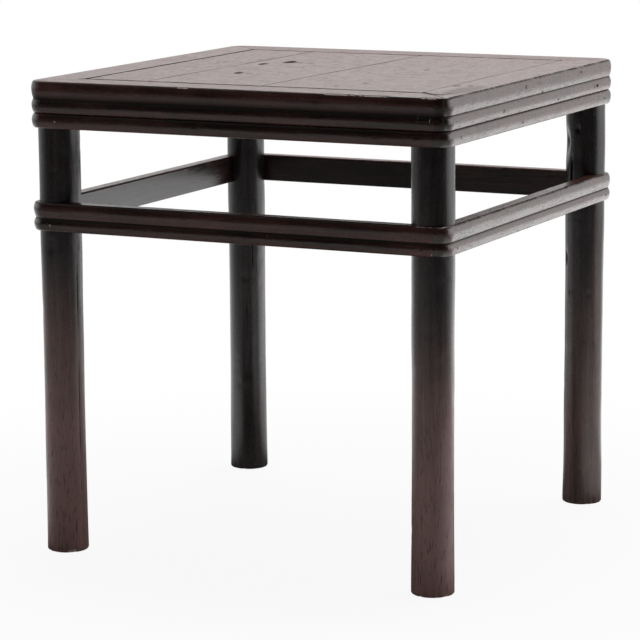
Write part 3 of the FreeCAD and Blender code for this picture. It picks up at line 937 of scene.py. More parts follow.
@dataclass
class Profile:
    """Section of a bar as a ring of points.

    Attributes:
        depth: Distance of each point from the outer plane.
        height: Height of each point.
        face: 1 on the outer face.
        top: 1 on the top face.
        edge: How much each point of the upper outer edge is open to wear and its painted glint, and to the
            painted dark edge; 0 elsewhere.
        groove: 1 in the grooves between reeds.
        above: 1 just over the grooves, falling to 0 upwards.
        inner: Distance of each point from the upper inner edge, and 1 away from the top face.
        reed: Number of the reed at each point's height, from the lowest up.
        share: Share of the way from that reed's foot to its head.
    """

    depth: Array
    height: Array
    face: Array
    top: Array
    edge: Array
    groove: Array
    above: Array
    inner: Array
    reed: Array
    share: Array

    @staticmethod
    def reeds(bottom: float, heights: tuple[float, ...], samples: int = 17) -> tuple[Array, Array]:
        """Curves one above the other: depth = sagitta * u^2, with u from -1 at the foot to 1 at the head.

        The crown, u = 0, lies a little above the middle of a reed, as hands and cloths left it.

        Args:
            bottom: Lowest level.
            heights: Height of each reed, from the lowest up.
            samples: Points on each reed, its ends shared with the next ones.

        Returns:
            Depth and height of the points, from the bottom up.
        """
        each = np.array(heights)[:, None]
        share = np.linspace(0, 1, samples)
        rise = (bottom + np.cumsum(each, 0) - each + each * share).ravel()
        past_crown = share - SIZES.reed_crown
        reach = np.where(past_crown > 0, 1 - SIZES.reed_crown, SIZES.reed_crown)
        depth = np.tile(SIZES.reed_sagitta * (past_crown / reach) ** 2, len(heights))
        kept = (np.arange(len(rise)) % samples > 0) | (np.arange(len(rise)) == 0)
        return depth[kept], rise[kept]

    @classmethod
    def bar(cls, bottom: float, heights: tuple[float, ...], thickness: float, bevel: float,
            groove: bool) -> "Profile":
        """The ring of a reeded bar: outer reeds, rounded edges, top, inside and bottom.

        Args:
            bottom: Lowest level.
            heights: Height of each reed, from the lowest up.
            thickness: Distance from the outer plane to the inside.
            bevel: Bevel of the upper inner edge.
            groove: Whether the inside has the panel's groove.

        Returns:
            The ring.
        """
        top = bottom + sum(heights)
        eased = 0.0006
        edge_depth = SIZES.reed_sagitta
        edge_end = edge_depth + 0.003
        outer = np.stack(cls.reeds(bottom, heights), 1)[2:-2]
        upper = cls.rounded(outer[-1], (edge_depth, top), (edge_end, top))
        lower = cls.rounded((edge_end, bottom), (edge_depth, bottom), outer[0])
        flat_end = thickness - max(bevel, eased)
        flat_depth = np.append(np.linspace(edge_end, flat_end - 0.005, 30 if groove else 6)[1:],
                               flat_end - np.array([0.0036, 0.0024, 0.0012, 0.0004, 0.0]))
        flat = np.stack([flat_depth, np.full(flat_depth.shape, top)], 1)
        if groove:
            groove_end = thickness - SIZES.groove_depth
            inside = [(thickness, top - eased),
                      (thickness, SIZES.groove_top), (groove_end, SIZES.groove_top),
                      (groove_end, SIZES.groove_bottom), (thickness, SIZES.groove_bottom),
                      (thickness, bottom)]
        else:
            inside = [(thickness, top - max(bevel, eased)), (thickness, top - 0.02), (thickness, bottom)]
        parts = [lower, outer[1:-1], upper, flat, np.array(inside)]
        ring = np.concatenate(parts)
        counts = [len(part) for part in parts]
        face = np.repeat([1.0, 1.0, 1.0, 0.0, 0.0], counts)
        on_top = np.repeat([0.0, 0.0, 0.0, 1.0, 0.0], counts)
        edge = np.zeros(len(ring))
        edge[sum(counts[:2]):sum(counts[:3])] = [0.0, 0.4, 0.9, 0.2, 0.0]
        lines = bottom + np.cumsum(heights)[:-1]
        reed = np.searchsorted(lines, ring[:, 1])
        share = (ring[:, 1] - np.append(bottom, lines)[reed]) / np.array(heights)[reed]
        rise = ring[:, 1:] - lines
        in_groove = face * np.exp(-(rise / 0.0012) ** 2).sum(1)
        above = face * np.where(rise > 0, np.exp(-(rise / 0.0080) ** 2), 0.0).sum(1)
        inner = np.where(on_top > 0, flat_end - ring[:, 0], 1.0)
        inner[sum(counts[:4])] = 0.0
        return cls(ring[:, 0], ring[:, 1], face, on_top, edge, in_groove, above, inner, reed, share)

    @staticmethod
    def rounded(start: Sequence[float], corner: Sequence[float], end: Sequence[float]) -> Array:
        """A rounded edge, as a quadratic spline.

        Args:
            start: Where it starts.
            corner: Corner that it is pulled to.
            end: Where it ends.

        Returns:
            Five points.
        """
        share = np.linspace(0, 1, 5)[:, None]
        start, corner, end = np.array(start), np.array(corner), np.array(end)
        return (1 - share) ** 2 * start + 2 * share * (1 - share) * corner + share ** 2 * end


@dataclass(frozen=True)
class Wear:
    """A stretch of an edge that is rubbed to the wood; it has few gaps where its strength is over 1."""

    start: float
    end: float
    strength: float
    ramp: float = 0.015

    def at(self, length: Array) -> Array:
        """Wear along the bar: a plateau with ramps inside its ends."""
        return (self.strength * smooth_step(self.start, self.start + self.ramp, length)
                * smooth_step(self.end, self.end - self.ramp, length))


class Ends(Enum):
    """How a bar ends at the corners of the table."""

    MITRED = "mitred"
    ROUND = "round"
    SEAMED = "seamed"


@dataclass
class ReededBar:
    """A rail, edge strip or stretcher with reeds outside.

    Attributes:
        node: Solid that the bar stands for.
        turn: Cosine and sine of its side's turn from the front.
        ends: How it ends.
        bottom: Lowest level.
        reeds: Height of each reed, from the lowest up.
        slot: Material slot.
        seed: Start of the random numbers.
        bevel: Bevel of the upper inner edge.
        rubbed: How thin the lacquer is at the foot and head of each reed, from the lowest up; on the front
            and back bars the lighter, redder feet also tint the reflected highlights there as painted
            light.
        shade_over_grooves: How much painted shade darkens the foot of each reed just over the grooves.
        wear: Worn stretches of the upper outer edge.
        edge_shade: How dark that edge is painted, a painted shade for its dark reflection.
        joint: Width of the dark joint along the upper inner edge.
        sunk: How far the top lies lower at that joint.
        chips: Places on the outer face where the wood is worn through, with its light colour as a painted
            glint, by distance along and by height.
        seam_gap: Gap at the seam between two wrapping bars.
        mitre_gap: Gap of a mitred end.
        edge_loss: How far a worn edge lies in and down.
    """

    node: str
    turn: tuple[int, int]
    ends: Ends
    bottom: float
    reeds: tuple[float, ...]
    slot: str
    seed: int
    bevel: float = 0.0
    rubbed: tuple[Pair, ...] = ((0.1, 0.1), (0.1, 0.1))
    shade_over_grooves: float = 0.0
    wear: tuple[Wear, ...] = ()
    edge_shade: float = 0.0
    joint: float = 0.0
    sunk: float = 0.0
    chips: tuple[Dent, ...] = ()
    seam_gap: float = 0.0003
    mitre_gap: float = 0.00015
    edge_loss: Pair = (0.0008, 0.0006)

    @property
    def mitred(self) -> bool:
        """Whether it is a rail of the mitred frame, which holds the panel."""
        return self.ends is Ends.MITRED

    @property
    def thickness(self) -> float:
        """Distance from the outer plane to the inside."""
        return SIZES.frame_width if self.mitred else SIZES.bar_thickness

    def stations(self) -> Array:
        """Places along the bar, closer together near its ends.

        Returns:
            A share of the way to the mitre on mitred bars; else the distance along the outer line from
            the middle, past the straight part's end on the round corner.
        """
        if self.mitred:
            parts = [np.linspace(0, 0.925, 110), np.linspace(0.925, 0.997, 28)[1:], [0.9985, 0.9993, 1.0]]
        else:
            to_seam = np.arcsin((SIZES.corner_radius - SIZES.seam_from_corner) / SIZES.corner_radius)
            angle, rows = (np.pi / 2 - to_seam, 26) if self.ends is Ends.ROUND else (to_seam, 6)
            turn = SIZES.corner_radius * angle - self.seam_gap / 2
            parts = [np.linspace(0, SIZES.shoulder - SIZES.fit_gap, 110),
                     np.linspace(SIZES.shoulder + SIZES.fit_gap, SIZES.straight, 14),
                     SIZES.straight + np.linspace(0, turn, rows)[1:]]
        half = np.concatenate(parts)
        return np.concatenate([-half[:0:-1], half])

    def lay(self, station: Array, depth: Array) -> tuple[Array, Array]:
        """Plan place of a point on the front side.

        A point keeps its depth below the outer line: along the straight part, then on an arc about the
        corner's middle with the corner's radius less the depth. A mitred bar turns half of the corner,
        and deeper points run straight to the mitre.

        Args:
            station: Place along the bar, as stations() gives it.
            depth: Depth of each point.

        Returns:
            X and Y of each point.
        """
        size = np.abs(station)
        arc = np.maximum(SIZES.corner_radius - depth, 1e-6)
        if self.mitred:
            run_end = np.minimum(SIZES.straight, SIZES.half - depth)
            turn_length = np.maximum(SIZES.corner_radius - depth, 0.0) * np.pi / 4
            along = size * (run_end + turn_length - self.mitre_gap)
            turn = np.where(depth < SIZES.corner_radius, np.clip(along - run_end, 0, None) / arc, 0.0)
            along = np.minimum(along, run_end)
        else:
            along = np.minimum(size, SIZES.straight)
            turn = np.clip(size - SIZES.straight, 0, None) / SIZES.corner_radius
        x = np.sign(station) * (along + arc * np.sin(turn))
        y = -SIZES.half + depth + arc * (1 - np.cos(turn))
        return x, y

    def wrapped(self, station: Array, depth: Array) -> Array:
        """Cut the bar down where it passes in front of a leg's neck.

        Args:
            station: Place of each point along the bar.
            depth: Depth of each point.

        Returns:
            The new depth.
        """
        turn = np.clip(np.abs(station) - SIZES.straight, 0, None) / SIZES.corner_radius
        thinnest = SIZES.wrap_skin - SIZES.wrap_loss * np.sin(2 * turn)
        return np.where(np.abs(station) > SIZES.shoulder, np.minimum(depth, thinnest), depth)

    def corner_share(self, station: Array) -> Array:
        """How far the bar has turned round the table's corner.

        Args:
            station: Place of each point along the bar.

        Returns:
            0 on the straight part, rising to 1.
        """
        if self.mitred:
            return smooth_step(0.945, 0.985, np.abs(station))
        return smooth_step(SIZES.straight + 0.006, SIZES.straight + 0.030, np.abs(station))

    def uneven_face(self, length: Array, height: Array) -> Array:
        """Unevenness of the outer face.

        Args:
            length: Distance of each point from the bar's middle.
            height: Its height.

        Returns:
            How far it lies inwards: the skin's inset, ripples, dents and chips.
        """
        ripple = 0.00012
        uneven = Ripple(self.seed + 1, 0.30, 0.05, ripple).at(length, height) + ripple
        dents = scattered_dents(self.seed, 60, (-SIZES.half, SIZES.half),
                                (self.bottom, self.bottom + sum(self.reeds)), (0.002, 0.006), 0.0005)
        return SIZES.skin_inset + uneven + dent_depth([*self.chips, *dents], length, height)

    def uneven_top(self, inner: Array, length: Array, depth: Array) -> Array:
        """Unevenness of the top.

        Args:
            inner: Distance of each point from the upper inner edge.
            length: Its distance from the bar's middle.
            depth: Its depth.

        Returns:
            How far it lies down: ripples, the sunk inner edge, and dents.
        """
        ripple = 0.00010
        sag = Ripple(self.seed + 2, 0.22, 0.06, ripple).at(length, depth) + ripple
        scars = scattered_dents(self.seed + 3, 40, (-SIZES.half, SIZES.half), (0.0, self.thickness),
                                (0.002, 0.006), 0.0003)
        return sag + self.sunk * smooth_step(0.014, 0.004, inner) + dent_depth(scars, length, depth)

    def dirt_and_shade(self, profile: Profile, station: Array, broken: Array) -> Array:
        """Painted shade in the grooves, just over them, on the hidden faces and along the upper edge, and
        dirt in the frame's joints.

        Args:
            profile: The section.
            station: Place of each point along the bar.
            broken: Slow changes along the bar.

        Returns:
            Share of painted shade and dirt of each point.
        """
        # Painted shade darkens the grooves, the foot of each reed just over them, and the hidden faces.
        hidden = (1 - profile.top) * (1 - profile.face)
        dirt_and_shade = np.maximum(0.85 * profile.groove, self.shade_over_grooves * profile.above)
        dirt_and_shade = np.maximum(dirt_and_shade, 0.25 * hidden)
        # Painted shade along the upper outer edge stands in for its dark reflection.
        dirt_and_shade = np.maximum(dirt_and_shade, np.sqrt(profile.edge) * self.edge_shade * np.clip(0.1 + 1.2 * broken, 0, 1))
        if self.mitred:
            dirt_and_shade = np.maximum(dirt_and_shade, smooth_step(self.joint, 0.3 * self.joint, profile.inner))
            at_mitre = np.abs(station) > 0.9990
            dirt_and_shade = np.maximum(dirt_and_shade, at_mitre * np.maximum(profile.top, 0.6 * profile.face))
        return dirt_and_shade

    def thinned(self, profile: Profile, station: Array) -> Array:
        """How thin the lacquer is.

        Args:
            profile: The section.
            station: Place of each point along the bar.

        Returns:
            Thin on the top, by reed on the face, and thick round the corners and inside.
        """
        corner = self.corner_share(station)
        foot, head = np.array(self.rubbed)[profile.reed].T
        rubbed = foot + (head - foot) * profile.share
        face = (rubbed * (1 - corner) + 0.1 * corner) * profile.face
        return 0.85 * profile.top + face + 0.10 * (1 - profile.top) * (1 - profile.face)

    def skin(self) -> Skin:
        """Carry the section along the bar, with ripples, dents and worn edges on its outer face and top.

        Returns:
            The closed surface with its marks.
        """
        profile = Profile.bar(self.bottom, self.reeds, self.thickness, self.bevel, self.mitred)
        station, depth = np.meshgrid(self.stations(), profile.depth, indexing="ij")
        height = np.broadcast_to(profile.height, depth.shape)
        length = station * SIZES.half if self.mitred else station
        if not self.mitred:
            depth = self.wrapped(station, depth)
        slow = Ripple(self.seed + 4, 0.090, 1.0, 1.0).at(length, height * 0)
        quick = Ripple(self.seed + 5, 0.017, 1.0, 1.0).at(length, height * 0)
        broken = 0.5 + 0.3 * slow + 0.3 * quick
        rubbed_off = sum((part.at(length) for part in self.wear), np.zeros(length.shape))
        worn = profile.edge * np.clip(rubbed_off * (0.30 + broken), 0, 1)
        for chip in self.chips:
            worn = np.maximum(worn, 0.62 * profile.face * chip.at(length, height))
        depth = depth + profile.face * self.uneven_face(length, height) + worn * self.edge_loss[0]
        lowered = profile.top * self.uneven_top(profile.inner, length, depth) + worn * self.edge_loss[1]
        x, y = self.lay(station, depth)
        cosine, sine = self.turn
        grid = np.stack([cosine * x - sine * y, sine * x + cosine * y, height - lowered], -1)
        return Skin.tube(grid, {"worn": worn, "crack": self.dirt_and_shade(profile, station, broken),
                                "thin": self.thinned(profile, station)})

    def build(self, finish: bpy.types.Material) -> bpy.types.Object:
        """Build the bar and dress it in its finish."""
        return self.skin().piece("moulded", self.node, self.slot, finish)


@dataclass(frozen=True)
class Side:
    """A side of the table: where it is, and the wear and damage on its bars.

    Attributes:
        name: Name of the side.
        turn: Cosine and sine of its turn from the front.
        seed: Start of the random numbers.
        sunk: How far the top rail lies lower at the panel.
        wear: Worn stretches of the top rail's upper edge.
        chips: Chips on the top rail's face.
        lower_wear: Worn stretches of the stretcher's upper edge.
        lower_chips: Chips on the stretcher's face.
    """

    name: str
    turn: tuple[int, int]
    seed: int
    sunk: float = 0.0
    wear: tuple[Wear, ...] = ()
    chips: tuple[Dent, ...] = ()
    lower_wear: tuple[Wear, ...] = ()
    lower_chips: tuple[Dent, ...] = ()

    @property
    def grain(self) -> Grain:
        """Axis of the side's bars."""
        return Grain.X if self.turn[0] else Grain.Y

    def bars(self) -> list[ReededBar]:
        """The side's top rail, edge strip and stretcher.

        The front and back ones end at seams, are rubbed most at the foot of each reed, and are painted
        darker just over the grooves as shade. The left and right ones hold the round corners, are rubbed
        evenly, and have a dark upper edge, painted as the shade of its dark reflection.

        Returns:
            The bars, from the top down.
        """
        if self.grain is Grain.X:
            ends, edge_shade, shade_over_grooves, joint = Ends.SEAMED, 0.0, 0.8, 0.0030
            # Lighter, redder feet of the reeds: partly wear, partly a painted tint of the reflected
            # highlight there.
            rail_rubbed, rubbed = ((0.36, -0.08), (0.36, 0.24)), ((0.44, 0.02), (0.46, 0.20))
        else:
            ends, edge_shade, shade_over_grooves, joint = Ends.ROUND, 0.9, 0.0, 0.0012
            rail_rubbed = rubbed = ((0.45, 0.45), (0.45, 0.45))
        rail = ReededBar("top_rail_" + self.name, self.turn, Ends.MITRED, SIZES.frame_bottom,
                         SIZES.frame_reeds, "frame_lacquer", self.seed, rubbed=rail_rubbed, shade_over_grooves=shade_over_grooves,
                         wear=self.wear, edge_shade=edge_shade, joint=joint, sunk=self.sunk, chips=self.chips)
        strip = ReededBar("edge_strip_" + self.name, self.turn, ends, SIZES.strip_bottom,
                          SIZES.strip_reeds, "frame_lacquer", self.seed + 300, rubbed=rubbed)
        stretcher = ReededBar("stretcher_" + self.name, self.turn, ends, SIZES.stretcher_bottom,
                              SIZES.stretcher_reeds, "stretcher_lacquer", self.seed + 600, bevel=0.003,
                              rubbed=rubbed, edge_shade=edge_shade, wear=self.lower_wear,
                              chips=self.lower_chips)
        return [rail, strip, stretcher]


@dataclass
class Board:
    """A board of the panel with a tongue all round.

    Attributes:
        node: Solid that the board stands for.
        left: Left edge as its X at the middle and its lean for each metre of Y.
        right: Right edge in the same way.
        seed: Start of the random numbers.
        tongue_left: How far the tongue stands out on the left.
        tongue_right: How far it stands out on the right.
    """

    node: str
    left: Pair
    right: Pair
    seed: int
    tongue_left: float
    tongue_right: float
    half_length: float = 0.3235
    tongue_half_length: float = 0.3325
    thickness: float = 0.020
    edge_rounding: float = 0.0009

    def tongue(self) -> Skin:
        """The tongue as a flat plate through the board, a ring of four corners carried along Y.

        Returns:
            The closed surface, without marks.
        """
        y = np.linspace(-self.tongue_half_length, self.tongue_half_length, 2)[:, None]
        left = self.left[0] - self.tongue_left + self.left[1] * y
        right = self.right[0] + self.tongue_right + self.right[1] * y
        x = np.concatenate([left, right, right, left], 1)
        z = np.broadcast_to([SIZES.tongue_bottom] * 2 + [SIZES.tongue_top] * 2, x.shape)
        return Skin.tube(np.stack([x, np.broadcast_to(y, x.shape), z], -1))

    def skin(self) -> Skin:
        """Carry the section along Y: x = left + share * width, z = top less rounding, ripples and dents.

        Returns:
            The closed surface with its marks, and the tongue.
        """
        rows = np.concatenate([[-1.0, -0.9985], np.linspace(-0.996, 0.996, 150), [0.9985, 1.0]])
        columns = np.concatenate([[0.0, 0.003], np.linspace(0.010, 0.990, 70), [0.997, 1.0]])
        y, share = np.meshgrid(rows * self.half_length, columns, indexing="ij")
        left = self.left[0] + self.left[1] * y
        right = self.right[0] + self.right[1] * y
        x = left + share * (right - left)
        border = np.minimum(np.minimum(x - left, right - x), self.half_length - np.abs(y))
        rounding = self.edge_rounding * (1 - smooth_step(0.0, 0.0014, border))
        ripple = 0.00012
        uneven = Ripple(self.seed, 0.07, 0.35, ripple).at(x, y) + ripple
        scars = scattered_dents(self.seed + 1, 60, (self.left[0], self.right[0]), (-0.32, 0.32),
                                (0.003, 0.010), 0.0003)
        top = SIZES.height - SIZES.skin_inset - rounding - uneven - dent_depth(scars, x, y)
        floor = np.full(top.shape, SIZES.height - self.thickness)
        grid = np.stack([np.concatenate([x, x[:, ::-1]], 1), np.concatenate([y, y], 1),
                         np.concatenate([top, floor], 1)], -1)
        # The board's end faces are painted dark as the shade inside the joint, besides the dark joint lines
        # on its top.
        ends = (np.abs(y) > 0.9999 * self.half_length).astype(float)
        gap = np.concatenate([smooth_step(0.0012, 0.0002, border), ends], 1)
        thin = np.concatenate([border * 0 + 0.9, border * 0], 1)
        return Skin.tube(grid, {"worn": gap * 0, "crack": gap, "thin": thin}).joined(self.tongue())

    def build(self, finish: bpy.types.Material) -> bpy.types.Object:
        """Build the board and dress it in its finish."""
        return self.skin().piece("planed", self.node, "panel_lacquer", finish)


@dataclass
class Studio:
    """White cove, soft lamps and the camera.

    Attributes:
        camera_place: Where the camera stands.
        camera_right: Its axis to the right.
        camera_up: Its axis upwards.
        focal_pixels: Focal length in pixels of a picture of the picture_width.
        sensor: Width of the camera's sensor in millimetres.
        away: Shares of Y and of minus X in the direction away from the camera on the floor.
    """

    camera_place: Triple = (2.24039, -4.68952, 1.32756)
    camera_right: Triple = (0.900936, 0.433912, -0.005934)
    camera_up: Triple = (-0.072048, 0.163050, 0.983984)
    focal_pixels: float = 2859.70
    sensor: float = 36.0
    picture_width: int = 640
    away: Pair = (0.904, 0.427)

    def add_camera(self) -> None:
        """Stand the camera at the photograph's viewpoint."""
        data = bpy.data.cameras.new("camera")
        data.sensor_width = self.sensor
        data.lens = self.focal_pixels / self.picture_width * self.sensor
        data.clip_end = 100.0
        camera = bpy.data.objects.new("camera", data)
        right = Vector(self.camera_right).normalized()
        up = Vector(self.camera_up).normalized()
        turn = Matrix((right, up, right.cross(up))).transposed().to_4x4()
        camera.matrix_world = Matrix.Translation(self.camera_place) @ turn
        bpy.context.scene.collection.objects.link(camera)
        bpy.context.scene.camera = camera

    def add_lamp(self, name: str, place: Triple, size: Pair, power: float,
                 target: Triple = (0.0, 0.0, 0.5), mirrored: bool = True) -> None:
        """Hang a soft lamp, unseen by the camera.

        Args:
            name: Name of the lamp.
            place: Where it hangs.
            size: Width and height.
            power: Power in watts.
            target: Point that it faces.
            mirrored: Whether it shows in reflections.
        """
        data = bpy.data.lights.new(name, "AREA")
        data.shape = "RECTANGLE"
        data.size, data.size_y = size
        data.energy = power
        lamp = bpy.data.objects.new(name, data)
        lamp.location = place
        lamp.rotation_euler = (Vector(target) - Vector(place)).to_track_quat("-Z", "Y").to_euler()
        lamp.visible_camera = False
        lamp.visible_glossy = mirrored
        bpy.context.scene.collection.objects.link(lamp)

    def away_and_left(self, x: Value, y: Value) -> tuple[Value, Value]:
        """Distances away from the camera and to its left on the floor, from X and Y."""
        along, across = self.away
        return y * along - x * across, x * -along - y * across

    def add_world(self) -> None:
        """White all round for the camera; the table stands between a bright cove and a dim room."""
        world = bpy.data.worlds.new("cove")
        bpy.context.scene.world = world
        world.use_nodes = True
        shader = Shader(world.node_tree)
        seen = shader.value("ShaderNodeLightPath", output="Is Camera Ray")
        x, y, z = shader.split(shader.node("ShaderNodeTexCoord").outputs["Generated"])
        away, _ = self.away_and_left(x, y)
        cove = away.ramp(-0.55, 0.60) * z.ramp(0.15, 0.75, 1.0, 0.30)
        white = seen + (1.0 - seen) * (0.012 + cove)
        glow = shader.surface("ShaderNodeBackground", {"Color": shader.grey(white), "Strength": 1.0})
        shader.show(glow, "World")

    def floor_mirrored(self, x: Value, y: Value) -> Value:
        """How white the floor is in reflections.

        It glows in reflections with painted light and shade, not with its lit colour: white behind the
        table, greyer beside it and in front, dark under the table as a painted shadow, and dark further
        towards the camera.

        Args:
            x: X of the point.
            y: Y of the point.

        Returns:
            Between 0 and 1.
        """
        distance = length_of(x, y).most(0.05)
        away, left = self.away_and_left(x, y)
        gap = length_of((abs(x) - 0.35).most(0.0), (abs(y) - 0.35).most(0.0))
        clear = gap.ramp(0.0, 0.5)
        leftward = left / distance
        cove = ((away - left * 0.12) / distance).ramp(-0.72, 0.90) * gap.ramp(0.0, 0.5, 0.1, 1.0)
        cove = cove * (1.0 - distance.ramp(2.8, 4.8) * left.ramp(0.5, 2.5) * 0.4)
        paper = distance.ramp(4.3, 3.0, 0.0, 0.36) * clear * leftward.ramp(-0.2, 0.6, 0.6)
        paper = paper * distance.ramp(0.9, 1.9, 0.6, 1.0)
        paper = paper + leftward.ramp(0.7, 0.2) * distance.ramp(1.8, 0.8, 0.0, 0.16) * clear
        near = ((away - left * 0.45) / distance).ramp(-0.90, -0.35) * distance.ramp(2.6, 0.8, 0.0, 0.85)
        return cove.most(paper).most(near * gap.ramp(0.0, 0.25))

    def add_floor(self) -> None:
        """A white floor: mostly its own white for the camera, so that the shadow stays faint."""
        half, level = 9.0, -0.0003
        corners = [(-half, -half, level), (half, -half, level), (half, half, level), (-half, half, level)]
        mesh = bpy.data.meshes.new("floor")
        mesh.from_pydata(corners, [], [(0, 1, 2, 3)])
        material, shader = Shader.of_material("white_floor")
        path = shader.node("ShaderNodeLightPath")
        seen = Value(shader, path.outputs["Is Camera Ray"])
        mirrored = Value(shader, path.outputs["Is Glossy Ray"])
        x, y, _ = shader.axes()
        own = length_of(x, y).most(0.05).ramp(0.4, 1.5, 0.92, 1.0)
        # In reflections the floor glows with painted light, with a painted shadow under the table.
        glow = seen + (1.0 - seen) * self.floor_mirrored(x, y)
        matt = shader.surface("ShaderNodeBsdfDiffuse", {"Color": (0.78, 0.78, 0.78)})
        white = shader.surface("ShaderNodeEmission", {"Color": shader.grey(glow), "Strength": 1.0})
        shader.show(shader.surface("ShaderNodeMixShader", {0: seen * own + mirrored, 1: matt, 2: white}))
        mesh.materials.append(material)
        floor = bpy.data.objects.new("floor", mesh)
        bpy.context.scene.collection.objects.link(floor)

    def build(self) -> None:
        """Set up everything round the table."""
        bpy.context.scene.view_settings.view_transform = "Standard"
        self.add_camera()
        self.add_world()
        self.add_floor()
        self.add_lamp("side", (3.6, 1.6, 1.1), (3.0, 3.0), 26.0)
        self.add_lamp("overhead", (0.0, 1.1, 3.2), (2.5, 2.4), 60.0)
        self.add_lamp("floor_bounce", (1.1, 2.2, 0.01), (1.8, 3.0), 16.0, (1.1, 2.2, 1.0))
        self.add_lamp("left_bounce", (-1.7, 0.9, 0.01), (1.8, 2.4), 4.0, (-1.7, 0.9, 1.0))
        self.add_lamp("front_fill", (0.5, -5.0, 2.4), (3.0, 3.0), 18.0, mirrored=False)


# The table

# The wide dulled_and_shaded stretches on the legs' rims are painted shade that dims their reflections; the
# small ones are dirt.
LEGS = (
    Leg("front_left", -1, -1, 11, 0.95, cracks=(Crack(-0.25, 0.10, 0.56, 0.0006, 0.0007),),
        dulled_and_shaded=(Dent(0.35, -0.06, 0.34, 0.30, 0.42),)),
    Leg("front_right", 1, -1, 23, 0.8),
    Leg("back_left", -1, 1, 37, 0.05,
        cracks=(Crack(-0.80, 0.40, 0.51, 0.0008, 0.0005), Crack(-1.12, 0.28, 0.37, 0.0008, 0.0005))),
    Leg("back_right", 1, 1, 41, 0.4, cracks=(Crack(-1.98, 0.57, 0.682, 0.0018, 0.0060),),
        hollows=(Dent(0.696, -2.55, 0.022, 0.32, 0.0075), Dent(0.474, -2.46, 0.012, 0.12, 0.0045),
                 Dent(0.436, -2.60, 0.030, 0.16, 0.0022), Dent(0.722, -1.62, 0.005, 0.09, 0.0025)),
        dulled_and_shaded=(Dent(0.33, -2.70, 0.34, 0.50, 0.65), Dent(0.471, -2.42, 0.009, 0.10, 0.9),
                Dent(0.411, -2.07, 0.006, 0.06, 0.75), Dent(0.412, -1.86, 0.005, 0.05, 0.75),
                Dent(0.722, -1.62, 0.004, 0.07, 0.9), Dent(0.35, -0.20, 0.34, 0.30, 0.42)),
        rubbed=(Dent(0.42, -0.45, 0.20, 0.35, 0.25),)),
)

SIDES = (
    Side("front", (1, 0), 100, sunk=0.0008,
         wear=(Wear(-0.112, -0.072, 0.9), Wear(-0.02, 0.02, 0.7), Wear(0.18, 0.31, 2.0),
               Wear(0.35, 0.40, 1.6)),
         chips=(Dent(0.3846, 0.8195, 0.0085, 0.0017, 0.0003), Dent(0.3790, 0.8120, 0.0018, 0.0060, 0.0003)),
         lower_wear=(Wear(0.330, 0.392, 0.75),),
         lower_chips=(Dent(0.375, 0.5895, 0.0022, 0.0045, 0.0012),
                      Dent(0.0698, 0.6287, 0.0013, 0.0030, 0.0003),
                      Dent(0.0702, 0.6022, 0.0013, 0.0024, 0.0003))),
    Side("right", (0, 1), 110, lower_wear=(Wear(-0.425, -0.385, 0.9),)),
    Side("back", (-1, 0), 120, wear=(Wear(-0.2, 0.1, 0.5),)),
    Side("left", (0, -1), 130),
)

# The open mitre at the near corner, the hooked crack beside it, and stains on the right rail.
CORNER_MARKS = (
    Stroke((0.324, -0.324), (0.390, -0.390), 0.0020, 0.7),
    Knot(0.334, -0.199, 0.008, 0.012, 0.6),
    Knot(0.356, -0.190, 0.006, 0.010, 0.6),
    Knot(0.374, -0.270, 0.030, 0.100, 0.30),
    Stroke((0.324, -0.324), (0.348, -0.343), 0.0075, 0.9),
    Stroke((0.348, -0.343), (0.369, -0.353), 0.0075, 0.9),
    Stroke((0.369, -0.353), (0.376, -0.324), 0.0040, 0.9),
)

# Bruises on the right side, by Y and height.
RIGHT_MARKS = tuple(Knot(*place, Plane.RIGHT) for place in (
    (0.303, 0.8075, 0.007, 0.0035, 0.9), (0.290, 0.8065, 0.004, 0.0030, 0.9),
    (0.217, 0.840, 0.005, 0.003, 0.8), (0.031, 0.821, 0.005, 0.003, 0.8),
    (-0.054, 0.837, 0.004, 0.005, 0.8), (0.105, 0.801, 0.006, 0.003, 0.7),
    (-0.155, 0.805, 0.007, 0.004, 0.5), (-0.067, 0.777, 0.006, 0.003, 0.7)))

PANEL_KNOTS = tuple(Knot(*place) for place in (
    (-0.134, 0.106, 0.013, 0.026), (-0.110, 0.098, 0.016, 0.006, 0.9), (-0.088, 0.096, 0.010, 0.004, 0.7),
    (-0.162, 0.050, 0.009, 0.018), (-0.123, -0.125, 0.011, 0.019), (-0.100, -0.131, 0.012, 0.004, 0.6),
    (-0.080, -0.133, 0.010, 0.003, 0.5), (-0.209, 0.126, 0.005, 0.010, 0.6),
    (-0.247, 0.060, 0.006, 0.012, 0.45), (-0.253, 0.038, 0.005, 0.010, 0.35),
    (0.168, 0.051, 0.006, 0.012, 0.5), (0.171, -0.220, 0.006, 0.010, 0.6),
    (0.143, -0.277, 0.006, 0.010, 0.6)))

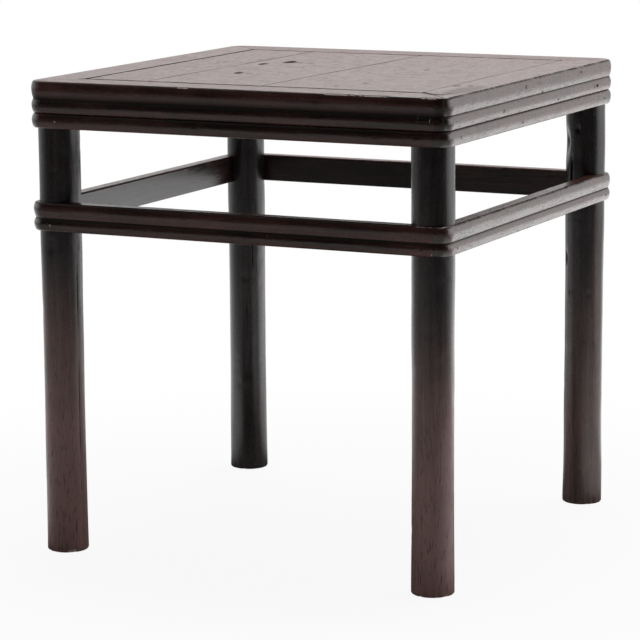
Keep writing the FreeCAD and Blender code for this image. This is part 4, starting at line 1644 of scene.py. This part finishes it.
LEG_FINISH = Lacquer("leg_lacquer", Grain.Z, deep=(0.011, 0.0082, 0.0084), thin=(0.30, 0.166, 0.146),
                     roughness=0.24, swing=(0.45, 0.55), pitting=0.1, ior=1.7)
BAR_FINISHES = (
    # The front bars' very light worn colour is mostly a painted glint on their worn upper edge.
    Lacquer("bar_lacquer_x", Grain.X, bare_and_glint=(0.82, 0.73, 0.67), ior=1.7, marks=CORNER_MARKS,
            tenon=TenonEnd()),
    Lacquer("bar_lacquer_y", Grain.Y, ior=2.0, marks=CORNER_MARKS + RIGHT_MARKS),
)
PANEL_FINISH = Lacquer("panel_lacquer", Grain.Y, relief=0.00016, pitting=0.14, ior=1.86, marks=PANEL_KNOTS)
BARE_WOOD = Lacquer("bare_wood", Grain.X, deep=(0.10, 0.065, 0.045), thin=(0.17, 0.115, 0.08),
                    roughness=0.6, ior=1.45)


def panel_boards() -> list[Board]:
    """Lay out the panel, whose boards meet at two leaning joints with a small gap.

    Returns:
        The three boards.
    """
    first, first_lean = -0.197, 0.015
    second, second_lean = 0.030, 0.025
    gap = 0.00025
    narrow = Board("panel_board_narrow", (-0.321, 0.0), (first - gap, first_lean), 201, 0.0115, 0.006)
    middle = Board("panel_board_middle", (first + gap, first_lean), (second - gap, second_lean), 203,
                   0.0, 0.006)
    wide = Board("panel_board_wide", (second + gap, second_lean), (0.3235, 0.0), 205, 0.0, 0.009)
    return [narrow, middle, wide]


def dress_solids(finish: bpy.types.Material, nodes: Sequence[str]) -> None:
    """Give solids that are shown as they are a finish in place of their own.

    Args:
        finish: The finish.
        nodes: Names of the solids.
    """
    for node in nodes:
        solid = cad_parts[node]
        solid.data.materials.clear()
        solid.data.materials.append(finish)
        log.info("dressed %s", node)


def main() -> None:
    """Build every piece in order; each one reports itself."""
    logging.basicConfig(level=logging.INFO, format="%(message)s")
    Studio().build()
    leg_finish = LEG_FINISH.material()
    for leg in LEGS:
        leg.build(leg_finish)
    bar_finishes = {finish.grain: finish.material() for finish in BAR_FINISHES}
    for side in SIDES:
        for bar in side.bars():
            bar.build(bar_finishes[side.grain])
    panel_finish = PANEL_FINISH.material()
    for board in panel_boards():
        board.build(panel_finish)
    dress_solids(BARE_WOOD.material(), ("panel_batten_front", "panel_batten_back", "edge_strip_tenons"))
    dress_solids(Bamboo("bamboo").material(), ("stretcher_pegs", "edge_strip_pegs"))


if __name__ == "__main__":
    main()
